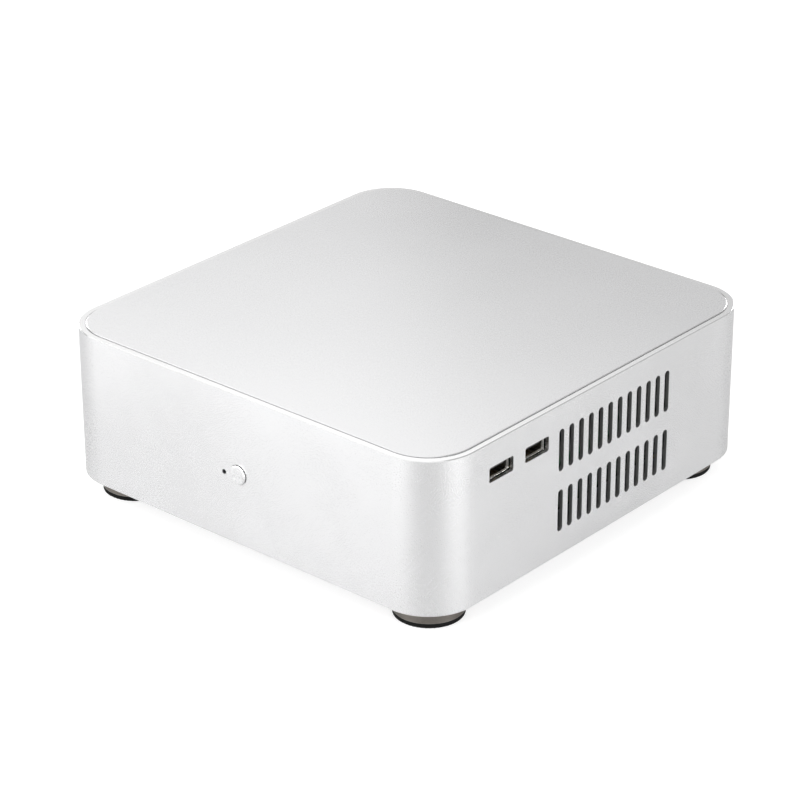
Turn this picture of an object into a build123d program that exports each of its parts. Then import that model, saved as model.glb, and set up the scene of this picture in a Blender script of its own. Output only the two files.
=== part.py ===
from build123d import *
import os
from math import pi, radians, tan

# A low, square, aluminium-cased desktop computer with a mini-ITX board inside.
# Millimetres, +Z up.  The origin is on the desk, midway between the four feet;
# the front (power button) faces -Y and the side USB ports face +X.

# ---- driving dimensions -------------------------------------------------
WIDTH = 200.0
DEPTH = 202.5
SHELL_HEIGHT = 65.8
FOOT_HEIGHT = 9.0
WALL = 2.4
OUTER_CORNER = 21.5
INNER_CORNER = 20.0
EDGE_BREAK = 0.3

COVER_THICKNESS = 2.0
COVER_RISE = 0.4
COVER_GAP = 0.3
BASE_THICKNESS = 1.5
BASE_GAP = 0.15
THIN_WALL = 1.6

FOOT_RADIUS = 14.4
FOOT_X = 79.0
FOOT_Y = 80.0
PAD_THICKNESS = 2.2
PAD_RADIUS = 14.2
PAD_EDGE = 0.5
FOOT_HOLE_BOTTOM = 4.8
FOOT_HOLE_RADIUS = 1.5

BUTTON_HOLE_RADIUS = 4.25
BUTTON_RADIUS = 3.98
BUTTON_PROUD = 0.7
BUTTON_TRAVEL = 1.0
BUTTON_LIFT = 31.1
LED_X = -7.7
LED_LIFT = 30.0
LED_HOLE_RADIUS = 1.05

USB_HOLE = (14.25, 6.35)
USB_LIFT = 52.1
USB_Y = (-62.9, -41.5)
USB_SETBACK = 2.2

SLOT_WIDTH = 3.05
SLOT_LENGTH = 18.1
SLOT_PITCH = 6.15
SLOT_COUNT = 12
SLOT_MIDDLE_Y = 7.45
SLOT_LIFTS = (19.85, 46.1)

BOARD_SIZE = 170.0
BOARD_THICKNESS = 1.6
STANDOFF_HEIGHT = 6.0
IO_HOLE = (158.75, 44.45)
FAN_SIZE = 70.0
FAN_THICKNESS = 15.0
FAN_BORE_RADIUS = 33.6
FAN_X = 16.0
FAN_Y = 26.0

BRACKET_DEPTH = 5.0
STUD_RADIUS = 1.6
CATCH_RADIUS = 3.2
BASE_SCREW_X = 92.4
BASE_SCREW_Y = 66.0

BUTTON_FLANGE_RADIUS = 4.9
GUIDE_RADIUS = 6.4
STEM_RADIUS = 2.0
PANEL_THICKNESS = 1.6
PANEL_SCREWS = ((-19.0, 46.0), (13.0, 46.0))

USB_SHELL = (13.15, 5.75)
USB_METAL = 0.35
USB_LENGTH = 14.0
USB_SCREWS = ((90.0, -52.2), (76.0, -52.2))

SINK_SCREW = 37.5
FAN_SCREW = 30.0
HUB_RADIUS = 14.0
BLADE_COUNT = 7
AXLE_RADIUS = 1.5

MEMORY_X = (63.5, 72.4)
POWER_X = (2.0, 54.0)
CELL_X = -52.0
CELL_Y = 22.0

JACK_X = 20.0
JACK_Z = 67.0
JACK_THREAD_RADIUS = 3.95

TRAY_Y = (-46.0, 71.0)
TRAY_LEGS = (-40.0, 52.0)
TRAY_SCREW_X = -90.0
DRIVE_X = (-94.6, -24.75)
DRIVE_Y = (-30.0, 70.0)
DRIVE_HEIGHT = 7.0
DRIVE_HOLES = ((-90.5, -16.0), (-90.5, 60.6), (-28.85, -16.0), (-28.85, 60.6))

# ---- places worked out from them ----------------------------------------
BASE_Z = FOOT_HEIGHT
RIM_Z = BASE_Z + SHELL_HEIGHT
COVER_TOP = RIM_Z + COVER_RISE
COVER_UNDER = COVER_TOP - COVER_THICKNESS
FLOOR_Z = BASE_Z + BASE_THICKNESS
BOARD_UNDER = FLOOR_Z + STANDOFF_HEIGHT
BOARD_TOP = BOARD_UNDER + BOARD_THICKNESS
INSIDE_X = WIDTH / 2 - WALL
INSIDE_Y = DEPTH / 2 - WALL
FRONT_Y = -DEPTH / 2
BOARD_EDGE = BOARD_SIZE / 2
BOARD_REAR = INSIDE_Y - 2.45
BOARD_FRONT = BOARD_REAR - BOARD_SIZE
BUTTON_Z = BASE_Z + BUTTON_LIFT
LED_Z = BASE_Z + LED_LIFT
USB_Z = BASE_Z + USB_LIFT
USB_MOUTH = WIDTH / 2 - USB_SETBACK
IO_LOW = BOARD_TOP - 3.8
SHIELD_Y = INSIDE_Y + 0.75
PORT_FACE = SHIELD_Y + 1.2
BOARD_HOLES = (
    (78.65, BOARD_REAR - 33.02),
    (-78.83, BOARD_REAR - 10.16),
    (78.65, BOARD_REAR - 165.1),
    (-78.83, BOARD_REAR - 165.1),
)
FEET = [(sx * FOOT_X, sy * FOOT_Y) for sx in (-1, 1) for sy in (-1, 1)]


# ---- shapes used again and again ----------------------------------------
def block(x, y, z):
    """A box from three (low, high) pairs."""
    size = Box(x[1] - x[0], y[1] - y[0], z[1] - z[0])
    return Pos((x[0] + x[1]) / 2, (y[0] + y[1]) / 2, (z[0] + z[1]) / 2) * size


def post(x, y, z0, z1, radius):
    """An upright cylinder."""
    return Pos(x, y, (z0 + z1) / 2) * Cylinder(radius, z1 - z0)


def rod_y(x, z, y0, y1, radius):
    """A cylinder lying along Y."""
    return Pos(x, (y0 + y1) / 2, z) * Rot(90, 0, 0) * Cylinder(radius, y1 - y0)


def rounded_slab(width, depth, corner, z0, z1):
    """An upright prism with a rounded rectangular plan, centred on the axis."""
    return Pos(0, 0, z0) * extrude(RectangleRounded(width, depth, corner), z1 - z0)


def side_prism(outline, x0, x1):
    """A YZ outline, drawn with its own X along Y and Y along Z, given thickness along X."""
    return extrude(Plane((x0, 0, 0), x_dir=(0, 1, 0), z_dir=(1, 0, 0)) * outline, x1 - x0)


def group(solids):
    """Separate pieces kept in one node."""
    return Compound(children=[s.solid() for s in solids])


def pan_screw(x, y, seat, reach, radius=1.45):
    """A cross-head screw pointing down: its head sits on the plane z = seat."""
    head = Pos(x, y, seat + 1.0) * Cylinder(2.75, 2.0)
    head = fillet(head.edges().sort_by(Axis.Z)[-1], 0.7)
    for turn in (0, 90):
        head -= Pos(x, y, seat + 1.6) * Rot(0, 0, turn) * Box(3.2, 0.7, 1.2)
    return head + post(x, y, seat - reach, seat, radius)


def wire_path(points):
    """Straight runs joined by arcs that are as large as the two runs allow."""
    corners = [Vector(*p) for p in points]
    radii = []
    for before, here, after in zip(corners, corners[1:], corners[2:]):
        run_in, run_out = here - before, after - here
        turn = radians(run_in.get_angle(run_out))
        shorter = min(run_in.length, run_out.length)
        radii.append(0.45 * shorter / tan(turn / 2))
    return FilletPolyline(*corners, radius=radii), radii


def lead(name, points, diameter):
    """A round lead swept along its route."""
    path, radii = wire_path(points)
    tube = sweep(Plane(origin=path @ 0, z_dir=path % 0) * Circle(diameter / 2), path=path)
    plain = pi * diameter ** 2 / 4 * path.length
    print(name, "length", round(path.length, 1), "radii", [round(r, 1) for r in radii])
    print(name, "volume over section times length", round(tube.volume / plain, 5))
    return tube


# ---- case ---------------------------------------------------------------
def vent_slots(x0, x1):
    """Two rows of upright round-ended slots through a side wall."""
    slots = []
    for lift in SLOT_LIFTS:
        for i in range(SLOT_COUNT):
            y = SLOT_MIDDLE_Y + (i - (SLOT_COUNT - 1) / 2) * SLOT_PITCH
            slot = Pos(y, BASE_Z + lift) * Rot(0, 0, 90) * SlotOverall(SLOT_LENGTH, SLOT_WIDTH)
            slots.append(side_prism(slot, x0, x1))
    return slots


def body_shell():
    """The extruded ring that makes all four sides, with every opening milled in it."""
    shell = rounded_slab(WIDTH, DEPTH, OUTER_CORNER, BASE_Z, RIM_Z)
    rims = shell.faces().filter_by(Axis.Z).edges()
    shell = chamfer(rims, EDGE_BREAK)
    shell -= rounded_slab(2 * INSIDE_X, 2 * INSIDE_Y, INNER_CORNER, BASE_Z - 1, RIM_Z + 1)
    pocket_x = WIDTH / 2 - THIN_WALL
    shell -= block((0, pocket_x), (-73, 45.5), (17, 68))
    shell -= block((-pocket_x, 0), (-30.5, 45.5), (17, 68))
    for y in USB_Y:
        hole = Pos(y, USB_Z) * RectangleRounded(*USB_HOLE, 0.9)
        shell -= side_prism(hole, INSIDE_X - 1, WIDTH / 2 + 1)
    shell -= vent_slots(INSIDE_X - 1, WIDTH / 2 + 1)
    shell -= vent_slots(-WIDTH / 2 - 1, -INSIDE_X + 1)
    shell -= rod_y(0, BUTTON_Z, FRONT_Y - 1, -INSIDE_Y + 1, BUTTON_HOLE_RADIUS)
    shell -= rod_y(LED_X, LED_Z, FRONT_Y - 1, -INSIDE_Y + 1, LED_HOLE_RADIUS)
    half_io = IO_HOLE[0] / 2
    shell -= block((-half_io, half_io), (INSIDE_Y - 2, DEPTH / 2 + 1), (IO_LOW, IO_LOW + IO_HOLE[1]))
    shell -= rod_y(JACK_X, JACK_Z, INSIDE_Y - 1, DEPTH / 2 + 1, JACK_THREAD_RADIUS + 0.1)
    return shell


def top_cover():
    """The flat lid, let into the rim of the shell and standing a little proud of it."""
    inset = 2 * COVER_GAP
    corner = INNER_CORNER - COVER_GAP
    lid = rounded_slab(2 * INSIDE_X - inset, 2 * INSIDE_Y - inset, corner, COVER_UNDER, COVER_TOP)
    lid = chamfer(lid.faces().sort_by(Axis.Z)[-1].edges(), EDGE_BREAK)
    for x, y in FEET:
        lid -= post(x, y, COVER_UNDER - 1, COVER_UNDER + 1.2, STUD_RADIUS)
    return lid


def cover_studs():
    """Four round studs pressed into the underside of the lid."""
    studs = []
    for x, y in FEET:
        stud = post(x, y, COVER_UNDER - BRACKET_DEPTH + 0.6, COVER_UNDER + 1.2, STUD_RADIUS)
        studs.append(fillet(stud.edges().sort_by(Axis.Z)[0], 0.8))
    return group(studs)


def cover_catches():
    """Four nylon bushes that grip the studs of the lid."""
    low = COVER_UNDER - BRACKET_DEPTH
    catches = []
    for x, y in FEET:
        bush = post(x, y, low, COVER_UNDER, CATCH_RADIUS)
        catches.append(bush - post(x, y, low - 1, COVER_UNDER + 1, STUD_RADIUS + 0.08))
    return group(catches)


def corner_brackets():
    """Four blocks bonded into the corners; the lid rests on them."""
    low = COVER_UNDER - BRACKET_DEPTH
    inside = rounded_slab(2 * INSIDE_X, 2 * INSIDE_Y, INNER_CORNER, low, COVER_UNDER)
    blocks = []
    for x, y in FEET:
        sx, sy = (1 if x > 0 else -1), (1 if y > 0 else -1)
        reach = Pos(sx * 86, sy * 87, COVER_UNDER) * Box(28, 28, 20)
        corner = inside & reach
        blocks.append(corner - post(x, y, low - 1, COVER_UNDER + 1, CATCH_RADIUS))
    return group(blocks)


def base_screw_places():
    return [(sx * BASE_SCREW_X, sy * BASE_SCREW_Y) for sx in (-1, 1) for sy in (-1, 1)]


def base_blocks():
    """Four tapped blocks bonded to the side walls; the bottom plate screws to them."""
    blocks = []
    for x, y in base_screw_places():
        side = (INSIDE_X - 10.4, INSIDE_X) if x > 0 else (-INSIDE_X, -INSIDE_X + 10.4)
        body = block(side, (y - 6, y + 6), (FLOOR_Z, FLOOR_Z + 5.6))
        blocks.append(body - post(x, y, FLOOR_Z - 1, FLOOR_Z + 7, 1.5))
    return group(blocks)


def base_screws():
    """Four countersunk screws driven up through the bottom plate."""
    screws = []
    for x, y in base_screw_places():
        head = Pos(x, y, BASE_Z + 0.75) * Cone(2.9, 1.45, 1.5)
        for turn in (0, 90):
            head -= Pos(x, y, BASE_Z + 0.4) * Rot(0, 0, turn) * Box(3.0, 0.7, 0.8)
        screws.append(head + post(x, y, BASE_Z + 1.5, BASE_Z + 6.5, 1.45))
    return group(screws)


def bottom_plate():
    """The flat floor of the case, with cooling slots under the board."""
    inset = 2 * BASE_GAP
    corner = INNER_CORNER - BASE_GAP
    plate = rounded_slab(2 * INSIDE_X - inset, 2 * INSIDE_Y - inset, corner, BASE_Z, FLOOR_Z)
    for x, y in base_screw_places():
        plate -= Pos(x, y, BASE_Z + 0.75) * Cone(2.95, 1.5, 1.5)
    for x, y in FEET:
        plate -= post(x, y, BASE_Z - 1, FLOOR_Z + 1, 1.6)
    slots = []
    for row in (-26, 0, 26):
        for i in range(SLOT_COUNT):
            x = (i - (SLOT_COUNT - 1) / 2) * SLOT_PITCH + 10
            slot = Pos(x, 12 + row) * Rot(0, 0, 90) * SlotOverall(SLOT_LENGTH, SLOT_WIDTH)
            slots.append(Pos(0, 0, BASE_Z - 1) * extrude(slot, 4))
    return plate - slots


# ---- feet ---------------------------------------------------------------
def feet():
    """Four turned metal feet, each with a recess for its rubber pad and a blind tapped hole."""
    turned = []
    for x, y in FEET:
        body = post(x, y, PAD_THICKNESS, BASE_Z, FOOT_RADIUS)
        body = chamfer(body.edges().sort_by(Axis.Z)[-1], EDGE_BREAK)
        body -= post(x, y, PAD_THICKNESS - 1, PAD_THICKNESS + 1.0, 12.0)
        turned.append(body - post(x, y, FOOT_HOLE_BOTTOM, BASE_Z + 1, FOOT_HOLE_RADIUS))
    return group(turned)


def foot_pads():
    """Four rubber rings stuck into the feet; they touch the desk."""
    pads = []
    for x, y in FEET:
        pad = post(x, y, 0, PAD_THICKNESS, PAD_RADIUS)
        pad = fillet(pad.edges().sort_by(Axis.Z)[0], PAD_EDGE)
        pad += post(x, y, PAD_THICKNESS, PAD_THICKNESS + 1.0, 11.95)
        pads.append(pad - post(x, y, -1, PAD_THICKNESS + 2, 5.5))
    return group(pads)


def foot_screws():
    """Four screws down through the bottom plate into the feet."""
    return group([pan_screw(x, y, FLOOR_Z, 5.0) for x, y in FEET])


# ---- power button, lamp and their board ---------------------------------
BUTTON_FACE = FRONT_Y - BUTTON_PROUD
FLANGE_Y = -INSIDE_Y + 0.3
STEM_END = FLANGE_Y + 4.0
SWITCH_FRONT = STEM_END + 1.5
PANEL_Y = SWITCH_FRONT + 3.5


def power_button():
    """The turned metal cap, with the flange that keeps it behind the wall and its stem."""
    cap = rod_y(0, BUTTON_Z, BUTTON_FACE, FLANGE_Y, BUTTON_RADIUS)
    cap = fillet(cap.edges().sort_by(Axis.Y)[0], 0.35)
    cap += rod_y(0, BUTTON_Z, FLANGE_Y, FLANGE_Y + 1.0, BUTTON_FLANGE_RADIUS)
    cap += rod_y(0, BUTTON_Z, FLANGE_Y + 1.0, STEM_END, STEM_RADIUS)
    return cap


def button_guide():
    """The plastic cup behind the wall in which the button slides."""
    back = FLANGE_Y + 1.0 + BUTTON_TRAVEL + 0.45
    cup = rod_y(0, BUTTON_Z, -INSIDE_Y, back + 1.2, GUIDE_RADIUS)
    cup -= rod_y(0, BUTTON_Z, -INSIDE_Y - 1, back, BUTTON_FLANGE_RADIUS + 0.3)
    cup -= rod_y(0, BUTTON_Z, back - 1, back + 2, STEM_RADIUS + 0.3)
    return cup


def switch_plunger():
    """The pushed part of the switch; it moves with the button."""
    return rod_y(0, BUTTON_Z, STEM_END, SWITCH_FRONT + 1.0, 1.7)


def power_switch():
    """The small square push switch soldered to the front board."""
    body = block((-3.1, 3.1), (SWITCH_FRONT, PANEL_Y), (BUTTON_Z - 3.1, BUTTON_Z + 3.1))
    return body - rod_y(0, BUTTON_Z, SWITCH_FRONT - 1, SWITCH_FRONT + 1.3 + BUTTON_TRAVEL, 2.0)


def front_board():
    """The small board that carries the power switch and the lamp."""
    board = block((-24, 18), (PANEL_Y, PANEL_Y + PANEL_THICKNESS), (30, 51))
    for x, z in PANEL_SCREWS:
        board -= rod_y(x, z, PANEL_Y - 1, PANEL_Y + 3, 1.6)
    return board


def front_bracket():
    """A folded sheet bracket that stands on the bottom plate and holds the front board."""
    web_y = PANEL_Y + PANEL_THICKNESS
    web = block((-26, 20), (web_y, web_y + 1.2), (FLOOR_Z, 53))
    web += block((-26, 20), (web_y, web_y + 10), (FLOOR_Z, FLOOR_Z + 1.2))
    for x, z in PANEL_SCREWS:
        web -= rod_y(x, z, web_y - 1, web_y + 3, 1.5)
    web -= block((-9, 3), (web_y - 1, web_y + 3), (33, 48))
    for x in (-19, 13):
        web -= post(x, web_y + 6, FLOOR_Z - 1, FLOOR_Z + 3, 1.6)
    return web


def status_led():
    """The lamp on the front board, with the smoked rod that carries its light to the hole."""
    lamp = rod_y(LED_X, LED_Z, FRONT_Y + 0.9, PANEL_Y - 4.6, 0.92)
    lamp += rod_y(LED_X, LED_Z, PANEL_Y - 4.6, PANEL_Y - 1.0, 1.5)
    return lamp + rod_y(LED_X, LED_Z, PANEL_Y - 1.0, PANEL_Y, 1.9)


# ---- side USB ports -----------------------------------------------------
USB_BOARD_TOP = USB_Z - USB_SHELL[1] / 2
USB_BOARD_UNDER = USB_BOARD_TOP - BOARD_THICKNESS


def usb_port(y):
    """The folded steel shell of one socket."""
    back = USB_MOUTH - USB_LENGTH
    outline = Pos(y, USB_Z) * RectangleRounded(*USB_SHELL, 0.7)
    inner_size = [s - 2 * USB_METAL for s in USB_SHELL]
    inside = Pos(y, USB_Z) * RectangleRounded(*inner_size, 0.4)
    return side_prism(outline, back, USB_MOUTH) - side_prism(inside, back + 1.0, USB_MOUTH + 1)


def usb_tongues():
    """The black contact carriers inside the two sockets."""
    back = USB_MOUTH - USB_LENGTH + 1.0
    carriers = []
    for y in USB_Y:
        base = block((back, back + 2.5), (y - 6.1, y + 6.1), (USB_Z - 2.4, USB_Z + 2.4))
        tongue = block((back, USB_MOUTH - 1.2), (y - 5.55, y + 5.55), (USB_Z - 0.15, USB_Z + 1.7))
        carriers.append(base + tongue)
    return group(carriers)


def usb_board():
    """The small board under the two sockets, with the plug of its lead."""
    board = block((70, USB_MOUTH - 1.4), (-74, -30), (USB_BOARD_UNDER, USB_BOARD_TOP))
    for x, y in USB_SCREWS:
        board -= post(x, y, USB_BOARD_UNDER - 1, USB_BOARD_TOP + 1, 1.6)
    return board + block((70.5, 76.5), (-71, -59), (USB_BOARD_TOP, USB_BOARD_TOP + 5.5))


def usb_bracket():
    """A folded bracket bonded to the side wall under the USB board."""
    top = USB_BOARD_UNDER
    shelf = block((72, INSIDE_X), (-74, -30.6), (top - 1.2, top))
    shelf += block((INSIDE_X - 1.2, INSIDE_X), (-74, -30.6), (top - 12, top))
    shelf -= block((72, 86), (-75, -60), (top - 2, top + 1))
    for x, y in USB_SCREWS:
        shelf -= post(x, y, top - 3, top + 1, 1.5)
    return shelf


# ---- main board and what is soldered or plugged to it -------------------
SOCKET_TOP = BOARD_TOP + 2.4
CPU_TOP = BOARD_TOP + 4.4
SINK_PLATE_Z = CPU_TOP + 6.0
FIN_TOP = SINK_PLATE_Z + 17.5


def sink_screw_places():
    return [(FAN_X + sx * SINK_SCREW, FAN_Y + sy * SINK_SCREW) for sx in (-1, 1) for sy in (-1, 1)]


def motherboard():
    """The 170 mm square main board."""
    board = block((-BOARD_EDGE, BOARD_EDGE), (BOARD_FRONT, BOARD_REAR), (BOARD_UNDER, BOARD_TOP))
    for x, y in BOARD_HOLES:
        board -= post(x, y, BOARD_UNDER - 1, BOARD_TOP + 1, 1.95)
    for x, y in sink_screw_places():
        board -= post(x, y, BOARD_UNDER - 1, BOARD_TOP + 1, 2.0)
    return board


def board_standoffs():
    """Four hexagonal brass pillars between the bottom plate and the board."""
    pillars = []
    for x, y in BOARD_HOLES:
        pillar = Pos(x, y, FLOOR_Z) * extrude(RegularPolygon(2.85, 6), STANDOFF_HEIGHT)
        pillars.append(pillar - post(x, y, FLOOR_Z + 1.0, BOARD_UNDER + 1, 1.5))
    return group(pillars)


def panel_screws():
    """All the short cross-head screws of the inside, which are alike."""
    screws = [pan_screw(x, y, BOARD_TOP, 5.0) for x, y in BOARD_HOLES]
    screws += [pan_screw(x, y, USB_BOARD_TOP, 4.0) for x, y in USB_SCREWS]
    for x, z in PANEL_SCREWS:
        upright = pan_screw(0, 0, 0, 4.0)
        screws.append(Pos(x, PANEL_Y, z) * Rot(90, 0, 0) * upright)
    for x in (-19, 13):
        screws.append(pan_screw(x, PANEL_Y + PANEL_THICKNESS + 6, FLOOR_Z + 1.2, 1.2))
    for y in TRAY_LEGS:
        screws.append(pan_screw(TRAY_SCREW_X, y, FLOOR_Z + 1.2, 1.2))
    for x, y in DRIVE_HOLES:
        upright = pan_screw(0, 0, 0, 3.8)
        screws.append(Pos(x, y, TRAY_Z) * Rot(180, 0, 0) * upright)
    return group(screws)


def cpu_socket():
    """The processor socket, a square frame with a shallow pocket."""
    frame = block((FAN_X - 22, FAN_X + 22), (FAN_Y - 21, FAN_Y + 21), (BOARD_TOP, SOCKET_TOP))
    return frame - block((FAN_X - 18.8, FAN_X + 18.8), (FAN_Y - 18.8, FAN_Y + 18.8),
                         (BOARD_TOP + 0.8, SOCKET_TOP + 1))


def processor():
    """The processor: its carrier and its metal lid."""
    carrier = block((FAN_X - 18.7, FAN_X + 18.7), (FAN_Y - 18.7, FAN_Y + 18.7),
                    (BOARD_TOP + 0.8, SOCKET_TOP))
    lid = block((FAN_X - 15.5, FAN_X + 15.5), (FAN_Y - 15.5, FAN_Y + 15.5), (SOCKET_TOP, CPU_TOP))
    return carrier + lid


def memory_slots():
    """The two long sockets of the memory modules."""
    slots = []
    for x in MEMORY_X:
        body = block((x - 3.2, x + 3.2), (-72.5, 51.0), (BOARD_TOP, BOARD_TOP + 8.5))
        for y in (-72.5, 47.0):
            body += block((x - 3.2, x + 3.2), (y, y + 4), (BOARD_TOP, BOARD_TOP + 16))
        slots.append(body - block((x - 0.7, x + 0.7), (-70.5, 49.0), (BOARD_TOP + 3, BOARD_TOP + 20)))
    return group(slots)


def memory_modules():
    """The two memory boards with eight chips a side."""
    modules = []
    for x in MEMORY_X:
        module = block((x - 0.6, x + 0.6), (-70.4, 48.9), (BOARD_TOP + 3, BOARD_TOP + 33))
        for i in range(8):
            y = -66.4 + i * 14.2
            module += block((x - 1.8, x + 1.8), (y, y + 10.5), (BOARD_TOP + 13, BOARD_TOP + 26))
        modules.append(module)
    return group(modules)


def expansion_slot():
    """The long card slot at the left edge of the board."""
    body = block((-82.7, -75.3), (-14, 75), (BOARD_TOP, BOARD_TOP + 11))
    return body - block((-79.9, -78.1), (-12, 73), (BOARD_TOP + 3, BOARD_TOP + 12))


POWER_Y = (BOARD_FRONT + 3.0, BOARD_FRONT + 12.8)


SUPPLY_PLUG_Y = sum(POWER_Y) / 2 + 7.0


def power_connector():
    """The 24-way power connector at the front edge of the board."""
    body = block(POWER_X, POWER_Y, (BOARD_TOP, BOARD_TOP + 12.6))
    middle = sum(POWER_Y) / 2
    holes = []
    for i in range(12):
        x = POWER_X[0] + 2.9 + i * 4.2
        for y in (middle - 2.15, middle + 2.15):
            holes.append(block((x - 1.5, x + 1.5), (y - 1.5, y + 1.5), (BOARD_TOP + 4, BOARD_TOP + 13)))
    return body - holes


def power_board():
    """The upright converter board that plugs into the 24-way connector."""
    middle = sum(POWER_Y) / 2
    low = BOARD_TOP + 12.6
    board = block(POWER_X, POWER_Y, (low, low + 6))
    board += block(POWER_X, (middle - 0.8, middle + 0.8), (low + 6, low + 22))
    for x in (12, 27, 42):
        board += block((x - 5, x + 5), (middle - 5.8, middle - 0.8), (low + 8, low + 18))
    for x in (7, 15, 46):
        board += rod_y(x, low + 14, middle + 0.8, middle + 8.8, 3.1)
    board += block((25, 35), (middle + 0.8, SUPPLY_PLUG_Y), (low + 11, low + 20))
    return board


def sata_connectors():
    """The two drive sockets at the front edge of the board."""
    sockets = []
    for x in (-40.0, -58.0):
        body = block((x - 7.5, x + 7.5), (BOARD_FRONT + 2, BOARD_FRONT + 9), (BOARD_TOP, BOARD_TOP + 8.5))
        slot_y = (BOARD_FRONT + 4.3, BOARD_FRONT + 6.7)
        sockets.append(body - block((x - 5.7, x + 5.7), slot_y, (BOARD_TOP + 2, BOARD_TOP + 9)))
    return group(sockets)


def pin_headers():
    """The three low headers that the front and side leads plug on to."""
    places = ((-14.0, BOARD_FRONT + 5), (48.0, BOARD_FRONT + 24), (-34.0, FAN_Y + 46))
    solids = []
    for x, y in places:
        header = block((x - 6.4, x + 6.4), (y - 2.6, y + 2.6), (BOARD_TOP, BOARD_TOP + 2.6))
        for i in range(5):
            for dy in (-1.27, 1.27):
                header += block((x - 5.4 + i * 2.54, x - 4.8 + i * 2.54), (y + dy - 0.3, y + dy + 0.3),
                                (BOARD_TOP + 2.6, BOARD_TOP + 8.5))
        solids.append(header)
    return group(solids)


def board_capacitors():
    """The round power capacitors round the processor."""
    places = [(FAN_X - 30 + i * 9.5, FAN_Y + 48.5) for i in range(7)]
    places += [(FAN_X - 31, FAN_Y - 12 + i * 9.5) for i in range(4)]
    cans = []
    for x, y in places:
        can = post(x, y, BOARD_TOP, BOARD_TOP + 8.0, 3.15)
        cans.append(fillet(can.edges().sort_by(Axis.Z)[-1], 0.5))
    return group(cans)


def board_chokes():
    """The square coils of the processor's supply."""
    coils = []
    for i in range(5):
        x = FAN_X - 24 + i * 12
        coil = block((x - 4, x + 4), (FAN_Y + 30, FAN_Y + 38), (BOARD_TOP, BOARD_TOP + 7))
        coils.append(chamfer(coil.faces().sort_by(Axis.Z)[-1].edges(), 0.6))
    return group(coils)


def chipset_heatsink():
    """A small finned block on the board's second chip."""
    sink = block((-62, -30), (-44, -12), (BOARD_TOP, BOARD_TOP + 4))
    for i in range(8):
        x = -61.5 + i * 4.3
        sink += block((x, x + 1.4), (-44, -12), (BOARD_TOP + 4, BOARD_TOP + 12))
    return sink


def cell_holder():
    """The shallow round holder of the clock's cell."""
    ring = post(CELL_X, CELL_Y, BOARD_TOP, BOARD_TOP + 3.6, 12.0)
    return ring - post(CELL_X, CELL_Y, BOARD_TOP + 1.0, BOARD_TOP + 5, 10.15)


def coin_cell():
    """The 20 mm cell that keeps the clock going."""
    cell = post(CELL_X, CELL_Y, BOARD_TOP + 1.0, BOARD_TOP + 4.2, 10.0)
    return fillet(cell.edges().sort_by(Axis.Z)[-1], 0.5)


# ---- cooler -------------------------------------------------------------
def cpu_heatsink():
    """The finned aluminium heatsink standing on the processor."""
    sink = block((FAN_X - 17, FAN_X + 17), (FAN_Y - 17, FAN_Y + 17), (CPU_TOP, SINK_PLATE_Z))
    sink += block((FAN_X - 42, FAN_X + 42), (FAN_Y - 42, FAN_Y + 42), (SINK_PLATE_Z, SINK_PLATE_Z + 3))
    for i in range(-8, 9):
        x = FAN_X + 4 * i
        sink += block((x - 0.5, x + 0.5), (FAN_Y - 35, FAN_Y + 35), (SINK_PLATE_Z + 3, FIN_TOP))
    for x, y in sink_screw_places():
        sink -= post(x, y, SINK_PLATE_Z - 1, SINK_PLATE_Z + 4, 1.6)
    return sink


def heatsink_screws():
    """Four screws that clamp the heatsink to the board."""
    reach = SINK_PLATE_Z + 3 - BOARD_UNDER + 2
    return group([pan_screw(x, y, SINK_PLATE_Z + 3, reach) for x, y in sink_screw_places()])


FAN_TOP = FIN_TOP + FAN_THICKNESS


def fan_frame():
    """The square plastic frame with its round duct, four struts and bearing tube."""
    half = FAN_SIZE / 2
    frame = rounded_slab(FAN_SIZE, FAN_SIZE, 4, FIN_TOP, FAN_TOP)
    frame = Pos(FAN_X, FAN_Y, 0) * frame
    frame -= post(FAN_X, FAN_Y, FIN_TOP - 1, FAN_TOP + 1, FAN_BORE_RADIUS)
    frame += post(FAN_X, FAN_Y, FIN_TOP, FIN_TOP + 2.2, 13.5)
    for turn in (0, 90, 180, 270):
        strut = Pos((13 + half - 1) / 2, 0, 1.1) * Box(half - 14, 3, 2.2)
        frame += Pos(FAN_X, FAN_Y, FIN_TOP) * Rot(0, 0, turn + 20) * strut
    frame += post(FAN_X, FAN_Y, FIN_TOP, FIN_TOP + 11.0, 3.2)
    frame -= post(FAN_X, FAN_Y, FIN_TOP + 1.0, FIN_TOP + 12, AXLE_RADIUS + 0.05)
    for sx in (-1, 1):
        for sy in (-1, 1):
            place = (FAN_X + sx * FAN_SCREW, FAN_Y + sy * FAN_SCREW)
            frame -= post(*place, FIN_TOP - 1, FAN_TOP + 1, 1.6)
    return frame


def fan_stator():
    """The wound core fixed on the bearing tube, inside the hub."""
    core = post(FAN_X, FAN_Y, FIN_TOP + 3.4, FIN_TOP + 10.4, 11.0)
    core -= post(FAN_X, FAN_Y, FIN_TOP + 3, FIN_TOP + 12, 3.2)
    for turn in (0, 90, 180, 270):
        core -= Pos(FAN_X, FAN_Y, FIN_TOP + 7) * Rot(0, 0, turn) * Pos(9.5, 0, 0) * Box(7, 2, 9)
    return core


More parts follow.
